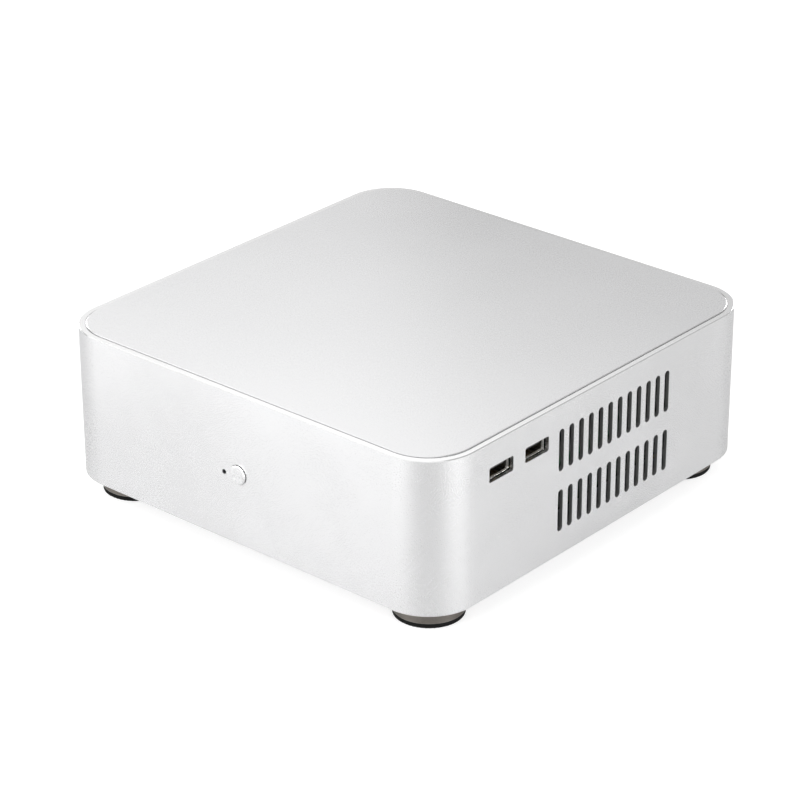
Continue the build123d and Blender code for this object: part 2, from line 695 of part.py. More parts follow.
def fan_rotor():
    """The hub cup with its axle and seven slanted blades."""
    hub = post(FAN_X, FAN_Y, FIN_TOP + 3.2, FAN_TOP - 1.0, HUB_RADIUS)
    hub = fillet(hub.edges().sort_by(Axis.Z)[-1], 1.0)
    hub -= post(FAN_X, FAN_Y, FIN_TOP + 3, FAN_TOP - 2.4, HUB_RADIUS - 1.6)
    hub += post(FAN_X, FAN_Y, FIN_TOP + 1.6, FAN_TOP - 2.0, AXLE_RADIUS)
    start, tip = HUB_RADIUS - 0.8, FAN_BORE_RADIUS - 0.8
    ring = post(FAN_X, FAN_Y, FIN_TOP, FAN_TOP, tip) - post(FAN_X, FAN_Y, FIN_TOP - 1, FAN_TOP + 1, start)
    blades = []
    for i in range(BLADE_COUNT):
        blade = Pos((start + tip) / 2, 0, 0) * Rot(38, 0, 0) * Box(tip - start + 2, 14, 1.1)
        turned = Rot(0, 0, 360 * i / BLADE_COUNT) * blade
        blades.append((Pos(FAN_X, FAN_Y, FIN_TOP + 8.5) * turned) & ring)
    return hub + blades


def fan_screws():
    """Four long screws through the fan's corners into the gaps between fins."""
    places = [(FAN_X + sx * FAN_SCREW, FAN_Y + sy * FAN_SCREW) for sx in (-1, 1) for sy in (-1, 1)]
    return group([pan_screw(x, y, FAN_TOP, FAN_THICKNESS + 6, 1.35) for x, y in places])


# ---- rear panel ---------------------------------------------------------
PORT_BACK = BOARD_REAR - 14.6
# name: (centre x, half width, height) of each connector standing on the board's rear edge
REAR_PORTS = {
    "display": (58.0, 8.2, 21.0),
    "usb_a": (33.0, 7.3, 30.5),
    "usb_b": (12.0, 7.3, 15.6),
    "lan": (-14.0, 8.2, 13.6),
    "audio": (-62.0, 6.6, 33.0),
}


def port_block(name):
    """The outer box of one rear connector."""
    x, half, height = REAR_PORTS[name]
    return block((x - half, x + half), (PORT_BACK, PORT_FACE), (BOARD_TOP, BOARD_TOP + height))


def usb_pocket(x, z):
    """The mouth of a rear USB socket, leaving its contact tongue."""
    mouth = block((x - 6.25, x + 6.25), (PORT_FACE - 10, PORT_FACE + 1), (z - 2.55, z + 2.55))
    return mouth - block((x - 5.55, x + 5.55), (PORT_FACE - 10, PORT_FACE - 1.2), (z - 0.1, z + 1.75))


def rear_usb_ports():
    """A four-high and a two-high stack of USB sockets."""
    stacks = []
    for name, levels in (("usb_a", (4.1, 11.2, 19.0, 26.3)), ("usb_b", (4.1, 11.2))):
        stack = port_block(name)
        for level in levels:
            stack -= usb_pocket(REAR_PORTS[name][0], BOARD_TOP + level)
        stacks.append(stack)
    return group(stacks)


def network_port():
    """The eight-way network socket with its latch notch."""
    x = REAR_PORTS["lan"][0]
    socket = port_block("lan")
    socket -= block((x - 5.9, x + 5.9), (PORT_FACE - 12, PORT_FACE + 1), (BOARD_TOP + 3.8, BOARD_TOP + 10.4))
    socket -= block((x - 3.0, x + 3.0), (PORT_FACE - 12, PORT_FACE + 1), (BOARD_TOP + 10.4, BOARD_TOP + 12.2))
    return socket


def display_ports():
    """Two display sockets in one housing."""
    x = REAR_PORTS["display"][0]
    housing = port_block("display")
    for level in (5.0, 15.5):
        z = BOARD_TOP + level
        housing -= block((x - 7.0, x + 7.0), (PORT_FACE - 9, PORT_FACE + 1), (z - 2.3, z + 2.3))
        housing += block((x - 5.5, x + 5.5), (PORT_FACE - 9, PORT_FACE - 1.5), (z - 0.5, z + 0.5))
    return housing


def audio_jacks():
    """Three round sound sockets in a column."""
    x = REAR_PORTS["audio"][0]
    column = port_block("audio")
    for level in (6.0, 16.5, 27.0):
        column += rod_y(x, BOARD_TOP + level, PORT_FACE, PORT_FACE + 0.6, 4.2)
        column -= rod_y(x, BOARD_TOP + level, PORT_FACE - 12, PORT_FACE + 1, 1.8)
    return column


def io_shield():
    """The thin steel plate sprung into the opening round the rear connectors."""
    half = IO_HOLE[0] / 2 - 0.2
    low, high = IO_LOW + 0.2, IO_LOW + IO_HOLE[1] - 0.2
    shield = block((-half, half), (SHIELD_Y - 2.4, SHIELD_Y), (low, high))
    shield -= block((-half + 0.4, half - 0.4), (SHIELD_Y - 3, SHIELD_Y - 0.4), (low + 0.4, high - 0.4))
    for x, half_width, height in REAR_PORTS.values():
        hole = ((x - half_width - 0.3, x + half_width + 0.3), (BOARD_TOP - 0.3, BOARD_TOP + height + 0.3))
        shield -= block(hole[0], (SHIELD_Y - 1, SHIELD_Y + 1), hole[1])
    return shield


def dc_jack():
    """The round power inlet: flange outside, threaded barrel through the wall."""
    jack = rod_y(JACK_X, JACK_Z, DEPTH / 2, DEPTH / 2 + BUTTON_PROUD, 5.6)
    jack = chamfer(jack.edges().sort_by(Axis.Y)[-1], 0.25)
    jack += rod_y(JACK_X, JACK_Z, 86.0, DEPTH / 2, JACK_THREAD_RADIUS)
    jack -= rod_y(JACK_X, JACK_Z, DEPTH / 2 - 9.0, DEPTH / 2 + 2, 2.75)
    jack += rod_y(JACK_X, JACK_Z, DEPTH / 2 - 9.5, DEPTH / 2 - 1.0, 1.05)
    return jack


def dc_jack_nut():
    """The hexagon nut that clamps the inlet from inside."""
    nut = Pos(JACK_X, INSIDE_Y, JACK_Z) * Rot(90, 0, 0) * extrude(RegularPolygon(6.2, 6), 2.2)
    return nut - rod_y(JACK_X, JACK_Z, INSIDE_Y - 4, INSIDE_Y + 1, JACK_THREAD_RADIUS + 0.02)


# ---- drive --------------------------------------------------------------
TRAY_Z = FAN_TOP + 1.0
TRAY_X = (-INSIDE_X + 1.4, FAN_X - FAN_SIZE / 2 - 5.6)


def drive_tray():
    """A folded steel tray on two legs that holds the drive above the board."""
    tray = block(TRAY_X, TRAY_Y, (TRAY_Z, TRAY_Z + 1.2))
    tray -= block((-82, -38), (-20, 55), (TRAY_Z - 1, TRAY_Z + 2))
    left = TRAY_X[0]
    for y in TRAY_LEGS:
        tray += block((left, left + 1.2), (y - 6, y + 6), (FLOOR_Z, TRAY_Z + 1.2))
        tray += block((left, left + 10), (y - 6, y + 6), (FLOOR_Z, FLOOR_Z + 1.2))
        tray -= post(TRAY_SCREW_X, y, FLOOR_Z - 1, FLOOR_Z + 2, 1.6)
    for x, y in DRIVE_HOLES:
        tray -= post(x, y, TRAY_Z - 1, TRAY_Z + 2, 1.6)
    return tray


def solid_state_drive():
    """The 2.5 inch drive, lying on the tray with its sockets to the front."""
    low = TRAY_Z + 1.2
    case = block(DRIVE_X, DRIVE_Y, (low, low + DRIVE_HEIGHT))
    case = fillet(case.edges().filter_by(Axis.Z), 2.0)
    case -= block((-88, -46), (-31, -25), (low + 1.2, low + 5.4))
    case += block((-86, -48), (-31 + 1, -25), (low + 2.6, low + 3.8))
    for x, y in DRIVE_HOLES:
        case -= post(x, y, low - 1, low + 3, 1.5)
    return case


# ---- leads --------------------------------------------------------------
PLUG_Z = TRAY_Z + 1.2 + 3.3


def drive_cable():
    """The drive's data lead with a plug at each end."""
    x, y = -58.0, BOARD_FRONT + 5.5
    plug_top = block((-84, -72), (DRIVE_Y[0] - 7, DRIVE_Y[0] - 0.2), (PLUG_Z - 1.9, PLUG_Z + 1.9))
    plug_low = block((x - 7, x + 7), (y - 3, y + 3), (BOARD_TOP + 8.5, BOARD_TOP + 16))
    route = [
        (-78, DRIVE_Y[0] - 7, PLUG_Z),
        (-78, DRIVE_Y[0] - 15, PLUG_Z),
        (-75, -56, 64.5),
        (-66, -64, 57.5),
        (x, y, 46),
        (x, y, BOARD_TOP + 16),
    ]
    return group([plug_top, plug_low, lead("drive_cable", route, 3.0)])


def drive_power_lead():
    """The drive's supply lead, from the converter board."""
    y = sum(POWER_Y) / 2
    plug = block((-69, -50), (DRIVE_Y[0] - 8, DRIVE_Y[0] - 0.2), (PLUG_Z - 1.9, PLUG_Z + 1.9))
    route = [
        (POWER_X[0], y, 44.7),
        (-10, y, 44.7),
        (-25, -63.5, 49),
        (-39, -61, 56),
        (-51, -56, 62.5),
        (-59.5, DRIVE_Y[0] - 17, PLUG_Z),
        (-59.5, DRIVE_Y[0] - 8, PLUG_Z),
    ]
    return group([plug, lead("drive_power_lead", route, 3.0)])


def supply_lead():
    """The main supply lead, from the inlet down the right of the fan to the converter board."""
    route = [
        (JACK_X, 86.0, JACK_Z),
        (JACK_X, 74.5, JACK_Z),
        (29.5, 65.5, 66.5),
        (45, 61.5, 65.5),
        (56.5, 51, 64.5),
        (60.5, 34, 63.5),
        (61.5, 14, 62.3),
        (59, -4, 60),
        (53.5, -20, 56),
        (45, -33, 51.5),
        (34, -41.5, 47.5),
        (30, -50.5, 46),
        (30, SUPPLY_PLUG_Y, 46),
    ]
    return lead("supply_lead", route, 3.6)


def switch_lead():
    """The thin lead from the front board to its header."""
    y = BOARD_FRONT + 5
    back = PANEL_Y + PANEL_THICKNESS
    plug = block((-20.4, -7.6), (y - 2.6, y + 2.6), (BOARD_TOP + 8.5, BOARD_TOP + 14))
    route = [
        (-3, back, 40),
        (-3, back + 6, 40),
        (-10.5, y - 3.9, 42),
        (-14, y, 38.5),
        (-14, y, BOARD_TOP + 14),
    ]
    return group([plug, lead("switch_lead", route, 1.8)])


def usb_lead():
    """The lead from the side USB board to its header."""
    x, y = 48.0, BOARD_FRONT + 24
    start_z = USB_BOARD_TOP + 2.8
    plug = block((x - 6.4, x + 6.4), (y - 2.6, y + 2.6), (BOARD_TOP + 8.5, BOARD_TOP + 15))
    route = [
        (70.5, -65, start_z),
        (62, -65, start_z),
        (54.5, -60, 55.5),
        (50, -53, 48),
        (x, y, 41),
        (x, y, BOARD_TOP + 15),
    ]
    return group([plug, lead("usb_lead", route, 2.4)])


# ---- every piece, written out under its own name ------------------------
NODES = {
    "body_shell": body_shell,
    "top_cover": top_cover,
    "cover_studs": cover_studs,
    "cover_catches": cover_catches,
    "corner_brackets": corner_brackets,
    "base_blocks": base_blocks,
    "base_screws": base_screws,
    "bottom_plate": bottom_plate,
    "feet": feet,
    "foot_pads": foot_pads,
    "foot_screws": foot_screws,
    "power_button": power_button,
    "button_guide": button_guide,
    "switch_plunger": switch_plunger,
    "power_switch": power_switch,
    "front_board": front_board,
    "front_bracket": front_bracket,
    "status_led": status_led,
    "usb_port_front": lambda: usb_port(USB_Y[0]),
    "usb_port_rear": lambda: usb_port(USB_Y[1]),
    "usb_tongues": usb_tongues,
    "usb_board": usb_board,
    "usb_bracket": usb_bracket,
    "motherboard": motherboard,
    "board_standoffs": board_standoffs,
    "panel_screws": panel_screws,
    "cpu_socket": cpu_socket,
    "processor": processor,
    "memory_slots": memory_slots,
    "memory_modules": memory_modules,
    "expansion_slot": expansion_slot,
    "power_connector": power_connector,
    "power_board": power_board,
    "sata_connectors": sata_connectors,
    "pin_headers": pin_headers,
    "board_capacitors": board_capacitors,
    "board_chokes": board_chokes,
    "chipset_heatsink": chipset_heatsink,
    "cell_holder": cell_holder,
    "coin_cell": coin_cell,
    "cpu_heatsink": cpu_heatsink,
    "heatsink_screws": heatsink_screws,
    "fan_frame": fan_frame,
    "fan_stator": fan_stator,
    "fan_rotor": fan_rotor,
    "fan_screws": fan_screws,
    "io_shield": io_shield,
    "rear_usb_ports": rear_usb_ports,
    "network_port": network_port,
    "display_ports": display_ports,
    "audio_jacks": audio_jacks,
    "dc_jack": dc_jack,
    "dc_jack_nut": dc_jack_nut,
    "drive_tray": drive_tray,
    "solid_state_drive": solid_state_drive,
    "drive_cable": drive_cable,
    "drive_power_lead": drive_power_lead,
    "supply_lead": supply_lead,
    "switch_lead": switch_lead,
    "usb_lead": usb_lead,
}

os.makedirs("parts", exist_ok=True)
for node_name, make in NODES.items():
    export_step(make(), f"parts/{node_name}.step")
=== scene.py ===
import math

import bmesh
import bpy
import numpy as np
from mathutils import Matrix, Vector


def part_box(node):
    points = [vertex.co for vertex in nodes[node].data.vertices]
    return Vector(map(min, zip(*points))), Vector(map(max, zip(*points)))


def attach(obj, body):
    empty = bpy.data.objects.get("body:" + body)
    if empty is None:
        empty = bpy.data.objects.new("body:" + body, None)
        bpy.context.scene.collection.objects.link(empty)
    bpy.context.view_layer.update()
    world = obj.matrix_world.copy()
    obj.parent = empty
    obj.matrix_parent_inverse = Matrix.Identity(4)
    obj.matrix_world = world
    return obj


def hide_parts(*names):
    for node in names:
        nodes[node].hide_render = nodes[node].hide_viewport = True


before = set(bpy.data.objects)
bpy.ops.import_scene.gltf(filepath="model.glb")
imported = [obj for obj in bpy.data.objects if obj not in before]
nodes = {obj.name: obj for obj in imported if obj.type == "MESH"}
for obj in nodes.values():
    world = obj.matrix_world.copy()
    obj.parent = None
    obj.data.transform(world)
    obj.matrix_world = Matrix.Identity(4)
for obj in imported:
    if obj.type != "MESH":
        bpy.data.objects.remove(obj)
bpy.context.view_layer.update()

# ---- Case ring ----------------------------------------------------------
# The four sides are one aluminium ring with rounded corners.  Slots, socket
# openings and the button's hole are milled in it, then it is blasted with
# fine beads and clear anodised, which leaves its broken edges a little brighter.
# Its top carries a painted highlight and its slot walls painted shade.


def put(tree, kind, settings=None, **sockets):
    """Adds a shader node. A socket takes a value, or a link where it is given another node's output."""
    made = tree.nodes.new("ShaderNode" + kind)
    for key, value in (settings or {}).items():
        setattr(made, key, value)
    for key, value in sockets.items():
        socket = made.inputs[key.replace("_", " ")]
        if isinstance(value, bpy.types.NodeSocket):
            tree.links.new(value, socket)
        else:
            socket.default_value = value
    return made


def work_out(tree, operation, *values):
    """One step of arithmetic on outputs and numbers; returns its output."""
    step = put(tree, "Math", {"operation": operation})
    for socket, value in zip(step.inputs, values):
        if isinstance(value, bpy.types.NodeSocket):
            tree.links.new(value, socket)
        else:
            socket.default_value = value
    return step.outputs[0]


def noise(tree, place, scale, detail=2.0):
    return put(tree, "TexNoise", Vector=place, Scale=scale, Detail=detail).outputs["Fac"]


def skin_group(name):
    """A node group with a place and a grain going in, and a tone and a height to come out."""
    group = bpy.data.node_groups.new(name, "ShaderNodeTree")
    for label, way, kind in (("Vector", "INPUT", "NodeSocketVector"), ("Grain", "INPUT", "NodeSocketFloat"),
                             ("Tone", "OUTPUT", "NodeSocketFloat"), ("Height", "OUTPUT", "NodeSocketFloat")):
        group.interface.new_socket(label, in_out=way, socket_type=kind)
    inlet = group.nodes.new("NodeGroupInput").outputs
    return group, inlet["Vector"], inlet["Grain"], group.nodes.new("NodeGroupOutput").inputs


def close_group(group, outlet, tone, height):
    group.links.new(tone, outlet["Tone"])
    group.links.new(height, outlet["Height"])
    return group


def bead_blast_group():
    """Pits: a fine noise. Tone: half the pits, half a broad cloud."""
    group, place, grain, outlet = skin_group("bead_blast")
    pits = noise(group, place, grain)
    clouds = noise(group, place, 11.0, 3.0)
    tone = work_out(group, "MULTIPLY_ADD", work_out(group, "ADD", pits, clouds), 0.5, 0.0)
    return close_group(group, outlet, tone, pits)


def edge_wear_group():
    """Mask: where the normal of a rounded copy of the edge turns away from the face's own.

    A noise breaks it up.
    """
    group = bpy.data.node_groups.new("edge_wear", "ShaderNodeTree")
    for label, way, kind in (("Vector", "INPUT", "NodeSocketVector"), ("Radius", "INPUT", "NodeSocketFloat"),
                             ("Amount", "INPUT", "NodeSocketFloat"), ("Mask", "OUTPUT", "NodeSocketFloat")):
        group.interface.new_socket(label, in_out=way, socket_type=kind)
    inlet = group.nodes.new("NodeGroupInput").outputs
    rounded = put(group, "Bevel", {"samples": 4}, Radius=inlet["Radius"]).outputs["Normal"]
    face = group.nodes.new("ShaderNodeNewGeometry").outputs["Normal"]
    agree = put(group, "VectorMath", {"operation": "DOT_PRODUCT"})
    group.links.new(rounded, agree.inputs[0])
    group.links.new(face, agree.inputs[1])
    turned = put(group, "MapRange", Value=agree.outputs["Value"], From_Min=0.995, From_Max=0.85,
                 To_Min=0.0, To_Max=1.0).outputs["Result"]
    patches = noise(group, inlet["Vector"], 160.0, 4.0)
    broken = put(group, "MapRange", Value=patches, From_Min=0.3, From_Max=0.6,
                 To_Min=0.35, To_Max=1.0).outputs["Result"]
    mask = work_out(group, "MULTIPLY", work_out(group, "MULTIPLY", turned, broken), inlet["Amount"])
    group.links.new(mask, group.nodes.new("NodeGroupOutput").inputs["Mask"])
    return group


bead_blast = bead_blast_group()
edge_wear = edge_wear_group()


def finish(name, skin, grain, tones, gloss, relief, metallic=0.0, worn=None, centre=(0, 0, 0),
           turn=(0, 0, 0), fixed=None, zones=None):
    """A material in Object coordinates.

    The skin group's tone mixes two colours and two roughnesses. Its height goes to a bump, whose relief
    is a strength and a distance. Worn edges, given as (colour, radius, amount), blend to their own colour.
    fixed sets the shader's own sockets. zones is a group and, for each mask it puts out, the colour and
    roughness there.
    """
    material = bpy.data.materials.new(name)
    material.use_nodes = True
    tree = material.node_tree
    shader = tree.nodes["Principled BSDF"]
    shader.inputs["Metallic"].default_value = metallic
    for key, value in (fixed or {}).items():
        shader.inputs[key].default_value = value
    place = put(tree, "Mapping", {"vector_type": "TEXTURE"}, Location=centre, Rotation=turn,
                Vector=put(tree, "TexCoord").outputs["Object"]).outputs["Vector"]
    surface = put(tree, "Group", {"node_tree": skin}, Vector=place, Grain=grain).outputs
    spread = put(tree, "MapRange", Value=surface["Tone"], From_Min=0.3, From_Max=0.7,
                 To_Min=0.0, To_Max=1.0).outputs["Result"]
    colour = put(tree, "Mix", {"data_type": "RGBA"}, Factor=spread, A=(*tones[0], 1), B=(*tones[1], 1))
    if worn:
        mask = put(tree, "Group", {"node_tree": edge_wear}, Vector=place, Radius=worn[1],
                   Amount=worn[2]).outputs["Mask"]
        colour = put(tree, "Mix", {"data_type": "RGBA"}, Factor=mask, A=colour.outputs["Result"],
                     B=(*worn[0], 1))
    rough = put(tree, "MapRange", Value=spread, To_Min=gloss[0], To_Max=gloss[1]).outputs["Result"]
    if zones:
        masks = put(tree, "Group", {"node_tree": zones[0]}, Vector=place).outputs
        for mask, (zone_colour, zone_rough) in zones[1].items():
            colour = put(tree, "Mix", {"data_type": "RGBA"}, Factor=masks[mask], A=colour.outputs["Result"],
                         B=(*zone_colour, 1))
            rough = put(tree, "Mix", Factor=masks[mask], A=rough, B=zone_rough).outputs["Result"]
    bump = put(tree, "Bump", Strength=relief[0], Distance=relief[1],
               Height=surface["Height"]).outputs["Normal"]
    tree.links.new(colour.outputs["Result"], shader.inputs["Base Color"])
    tree.links.new(rough, shader.inputs["Roughness"])
    tree.links.new(bump, shader.inputs["Normal"])
    return material


def dress(material, *names):
    """Gives CAD nodes their material."""
    for name in names:
        nodes[name].data.materials.clear()
        nodes[name].data.materials.append(material)


shell_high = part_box("body_shell")[1]
RIM_BAND = 0.0004
SKIN = 0.00006
SLOTS_MIDDLE = 0.00745
SLOTS_HALF = 0.040


def ring_zones_group():
    """Rim: within a hair of the ring's top, where the colour is a painted highlight.

    Slot Wall: all that lies under the skin of the two sides, along the slots, where the colour is painted
    shade.
    """
    group = bpy.data.node_groups.new("ring_zones", "ShaderNodeTree")
    group.interface.new_socket("Vector", in_out="INPUT", socket_type="NodeSocketVector")
    for label in ("Slot Wall", "Rim"):
        group.interface.new_socket(label, in_out="OUTPUT", socket_type="NodeSocketFloat")
    inlet = group.nodes.new("NodeGroupInput").outputs
    outlet = group.nodes.new("NodeGroupOutput").inputs
    x, y, z = put(group, "SeparateXYZ", Vector=inlet["Vector"]).outputs
    under_skin = work_out(group, "LESS_THAN", work_out(group, "ABSOLUTE", x), shell_high.x - SKIN)
    along = work_out(group, "ABSOLUTE", work_out(group, "SUBTRACT", y, SLOTS_MIDDLE))
    by_slots = work_out(group, "LESS_THAN", along, SLOTS_HALF)
    group.links.new(work_out(group, "MULTIPLY", under_skin, by_slots), outlet["Slot Wall"])
    group.links.new(work_out(group, "GREATER_THAN", z, shell_high.z - RIM_BAND), outlet["Rim"])
    return group


BLAST_GRAIN = 3200.0
SATIN_TONES = ((0.855, 0.855, 0.862), (0.895, 0.895, 0.900))
SATIN_GLOSS = (0.25, 0.30)
BROKEN_EDGE = ((0.96, 0.96, 0.96), 0.0005, 0.5)
SATIN_RELIEF = (0.06, 0.00004)
# The rim's lighter colour is a painted highlight where the ring's top catches the light; it is also set
# glossier.
RIM_PAINTED_HIGHLIGHT = ((0.97, 0.97, 0.97), 0.22)
# The slot walls' dark grey is painted shade inside the slots; their higher roughness is the milled surface.
MILLED_WALL_PAINTED_SHADE = ((0.36, 0.36, 0.36), 0.60)
ring_metal = finish("ring_satin_aluminium", bead_blast, BLAST_GRAIN, SATIN_TONES, SATIN_GLOSS,
                    SATIN_RELIEF, metallic=1.0, worn=BROKEN_EDGE,
                    zones=(ring_zones_group(), {"Slot Wall": MILLED_WALL_PAINTED_SHADE, "Rim": RIM_PAINTED_HIGHLIGHT}))
dress(ring_metal, "body_shell")

# ---- Base plate, brackets and blocks --------------------------------------
# The floor is a slotted sheet of plain aluminium, screwed to four blocks that
# are bonded in the ring; four brackets bonded under the rim carry the lid.


def rolled_sheet_group():
    """Lines along X from rolling: a noise stretched thirtyfold. Tone: the lines and a broad cloud."""
    group, place, grain, outlet = skin_group("rolled_sheet")
    stretched = put(group, "VectorMath", {"operation": "MULTIPLY"})
    group.links.new(place, stretched.inputs[0])
    stretched.inputs[1].default_value = (0.03, 1.0, 1.0)
    lines = noise(group, stretched.outputs["Vector"], grain, 3.0)
    clouds = noise(group, place, 30.0, 3.0)
    tone = work_out(group, "MULTIPLY_ADD", work_out(group, "ADD", lines, clouds), 0.5, 0.0)
    return close_group(group, outlet, tone, lines)


rolled_sheet = rolled_sheet_group()
sheet_aluminium = finish("base_sheet_aluminium", rolled_sheet, 1500.0,
                         ((0.56, 0.56, 0.57), (0.70, 0.70, 0.71)), (0.34, 0.46), (0.12, 0.00005),
                         metallic=1.0, worn=((0.85, 0.85, 0.85), 0.0004, 0.6))
dress(sheet_aluminium, "bottom_plate", "corner_brackets", "base_blocks")

# ---- Feet -----------------------------------------------------------------
# Each foot is a turned, dark anodised cup with a rubber ring pressed into it,
# held by one screw through its middle.

foot_metal = finish("foot_turned_metal", rolled_sheet, 2600.0, ((0.17, 0.155, 0.14), (0.26, 0.24, 0.22)),
                    (0.26, 0.36), (0.25, 0.00005), metallic=1.0, worn=((0.55, 0.52, 0.48), 0.0004, 0.7))
dress(foot_metal, "feet")


def moulded_skin_group():
    """Mould grain: the distance to the nearest of many scattered points. Tone: a noise and a cloud."""
    group, place, grain, outlet = skin_group("moulded_skin")
    cells = put(group, "TexVoronoi", {"feature": "SMOOTH_F1"}, Vector=place, Scale=grain).outputs["Distance"]
    tone = work_out(group, "MULTIPLY_ADD", work_out(group, "ADD", noise(group, place, 600.0, 3.0),
                                                    noise(group, place, 60.0, 3.0)), 0.5, 0.0)
    return close_group(group, outlet, tone, cells)


moulded_skin = moulded_skin_group()
rubber = finish("foot_rubber", moulded_skin, 1800.0, ((0.003, 0.003, 0.003), (0.008, 0.008, 0.008)),
                (0.70, 0.86), (0.35, 0.0001), worn=((0.02, 0.02, 0.02), 0.0004, 0.4),
                fixed={"Specular IOR Level": 0.04})
dress(rubber, "foot_pads")

steel = finish("screw_zinc_steel", rolled_sheet, 2200.0, ((0.46, 0.46, 0.47), (0.62, 0.62, 0.62)),
               (0.22, 0.36), (0.15, 0.00004), metallic=1.0, worn=((0.80, 0.80, 0.80), 0.0002, 0.7))
dress(steel, "foot_screws", "base_screws", "panel_screws", "heatsink_screws", "fan_screws", "cover_studs")

# ---- Power button and lamp --------------------------------------------------
# A turned aluminium cap slides in a nylon guide and presses a small switch on
# an upright board; the lamp beside it shines through a smoked rod.


def turned_face_group():
    """Rings about local Z: a noise of the radius alone. Tone: the rings and a fine noise."""
    group, place, grain, outlet = skin_group("turned_face")
    x, y = put(group, "SeparateXYZ", Vector=place).outputs[:2]
    radius = work_out(group, "SQRT", work_out(group, "ADD", work_out(group, "MULTIPLY", x, x),
                                              work_out(group, "MULTIPLY", y, y)))
    rings = put(group, "TexNoise", {"noise_dimensions": "1D"}, W=work_out(group, "MULTIPLY", radius, grain),
                Scale=1.0, Detail=1.0).outputs["Fac"]
    both = work_out(group, "ADD", rings, noise(group, place, 900.0))
    tone = work_out(group, "MULTIPLY_ADD", both, 0.5, 0.0)
    return close_group(group, outlet, tone, rings)


turned_face = turned_face_group()
QUARTER_TURN = math.pi / 2
button_low, button_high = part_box("power_button")
BUTTON_MIDDLE = ((button_low.x + button_high.x) / 2, 0.0, (button_low.z + button_high.z) / 2)
cap_metal = finish("button_turned_aluminium", turned_face, 9000.0, ((0.80, 0.80, 0.81), (0.93, 0.93, 0.93)),
                   (0.24, 0.32), (0.30, 0.00004), metallic=1.0, worn=BROKEN_EDGE,
                   centre=BUTTON_MIDDLE, turn=(QUARTER_TURN, 0, 0))
dress(cap_metal, "power_button")

nylon = finish("guide_nylon", moulded_skin, 1500.0, ((0.035, 0.035, 0.036), (0.06, 0.06, 0.06)),
               (0.45, 0.60), (0.2, 0.00006), worn=((0.12, 0.12, 0.12), 0.0003, 0.4))
dress(nylon, "button_guide", "cover_catches")

black_plastic = finish("moulded_black_plastic", moulded_skin, 2400.0,
                       ((0.012, 0.012, 0.013), (0.030, 0.030, 0.030)), (0.36, 0.52), (0.2, 0.00005),
                       worn=((0.08, 0.08, 0.08), 0.0003, 0.4))
dress(black_plastic, "power_switch", "switch_plunger", "usb_tongues", "memory_slots", "power_connector",
      "sata_connectors", "pin_headers", "cell_holder", "fan_frame", "fan_rotor", "expansion_slot", "dc_jack",
      "audio_jacks")

smoked_rod = finish("lamp_smoked_plastic", moulded_skin, 900.0,
                    ((0.003, 0.003, 0.004), (0.008, 0.008, 0.010)), (0.12, 0.20), (0.03, 0.00004),
                    fixed={"Specular IOR Level": 0.3})
dress(smoked_rod, "status_led")


def board_tracks_group():
    """Copper under green resist.

    Square patches choose whether their tracks run along X or Y. A track is where a sawtooth of the other
    coordinate is under 0.36, and a noise leaves bare areas between.
    """
    group, place, grain, outlet = skin_group("board_tracks")
    x, y, z = put(group, "SeparateXYZ", Vector=place).outputs
    patch = put(group, "TexVoronoi", {"distance": "CHEBYCHEV"}, Vector=place, Scale=85.0).outputs["Color"]
    pick = work_out(group, "GREATER_THAN", put(group, "SeparateColor", Color=patch).outputs["Red"], 0.5)
    across = put(group, "Mix", Factor=pick, A=x, B=y).outputs["Result"]
    across = work_out(group, "ADD", across, z)
    saw = work_out(group, "FRACT", work_out(group, "MULTIPLY", across, grain))
    tracks = work_out(group, "LESS_THAN", saw, 0.36)
    routed = put(group, "MapRange", Value=noise(group, place, 55.0), From_Min=0.47, From_Max=0.49,
                 To_Min=0.0, To_Max=1.0).outputs["Result"]
    height = work_out(group, "MULTIPLY", tracks, routed)
    tone = work_out(group, "MULTIPLY_ADD", height, 0.28, work_out(group, "MULTIPLY_ADD",
                                                                noise(group, place, 400.0), 0.3, 0.25))
    return close_group(group, outlet, tone, height)


board_tracks = board_tracks_group()
green_board = finish("board_green_resist", board_tracks, 900.0,
                     ((0.003, 0.014, 0.007), (0.013, 0.060, 0.028)), (0.22, 0.34), (0.35, 0.00003),
                     worn=((0.30, 0.27, 0.16), 0.0003, 0.6))
dress(green_board, "motherboard", "memory_modules", "power_board", "front_board", "usb_board")

# ---- Side sockets -----------------------------------------------------------
# Two folded shells of bright nickelled steel with flared mouths stand on a small
# board behind the openings, each round a black tongue with gold contacts.

plated_steel = finish("plated_sheet_steel", rolled_sheet, 3200.0, ((0.66, 0.66, 0.655), (0.72, 0.72, 0.71)),
                      (0.22, 0.30), (0.08, 0.00003), metallic=1.0, worn=((0.88, 0.88, 0.86), 0.0003, 0.7))
dress(plated_steel, "io_shield", "rear_usb_ports", "network_port", "display_ports", "front_bracket",
      "usb_bracket", "drive_tray", "dc_jack_nut", "coin_cell", "processor")
nickel = finish("socket_bright_nickel", rolled_sheet, 2600.0, ((0.50, 0.49, 0.47), (0.62, 0.61, 0.58)),
                (0.14, 0.22), (0.06, 0.00003), metallic=1.0, worn=((0.85, 0.84, 0.82), 0.0002, 0.6))


def add_piece(name, vertices, faces, material, body, smooth_angle=None):
    """Puts an array of points and their faces in a mesh, and hangs it on a body of the frame."""
    mesh = bpy.data.meshes.new(name)
    mesh.from_pydata(np.asarray(vertices).tolist(), [], np.asarray(faces).tolist())
    mesh.materials.append(material)
    if smooth_angle:
        mesh.shade_smooth()
        mesh.set_sharp_from_angle(angle=smooth_angle)
    piece = bpy.data.objects.new(name, mesh)
    bpy.context.scene.collection.objects.link(piece)
    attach(piece, body)
    return piece


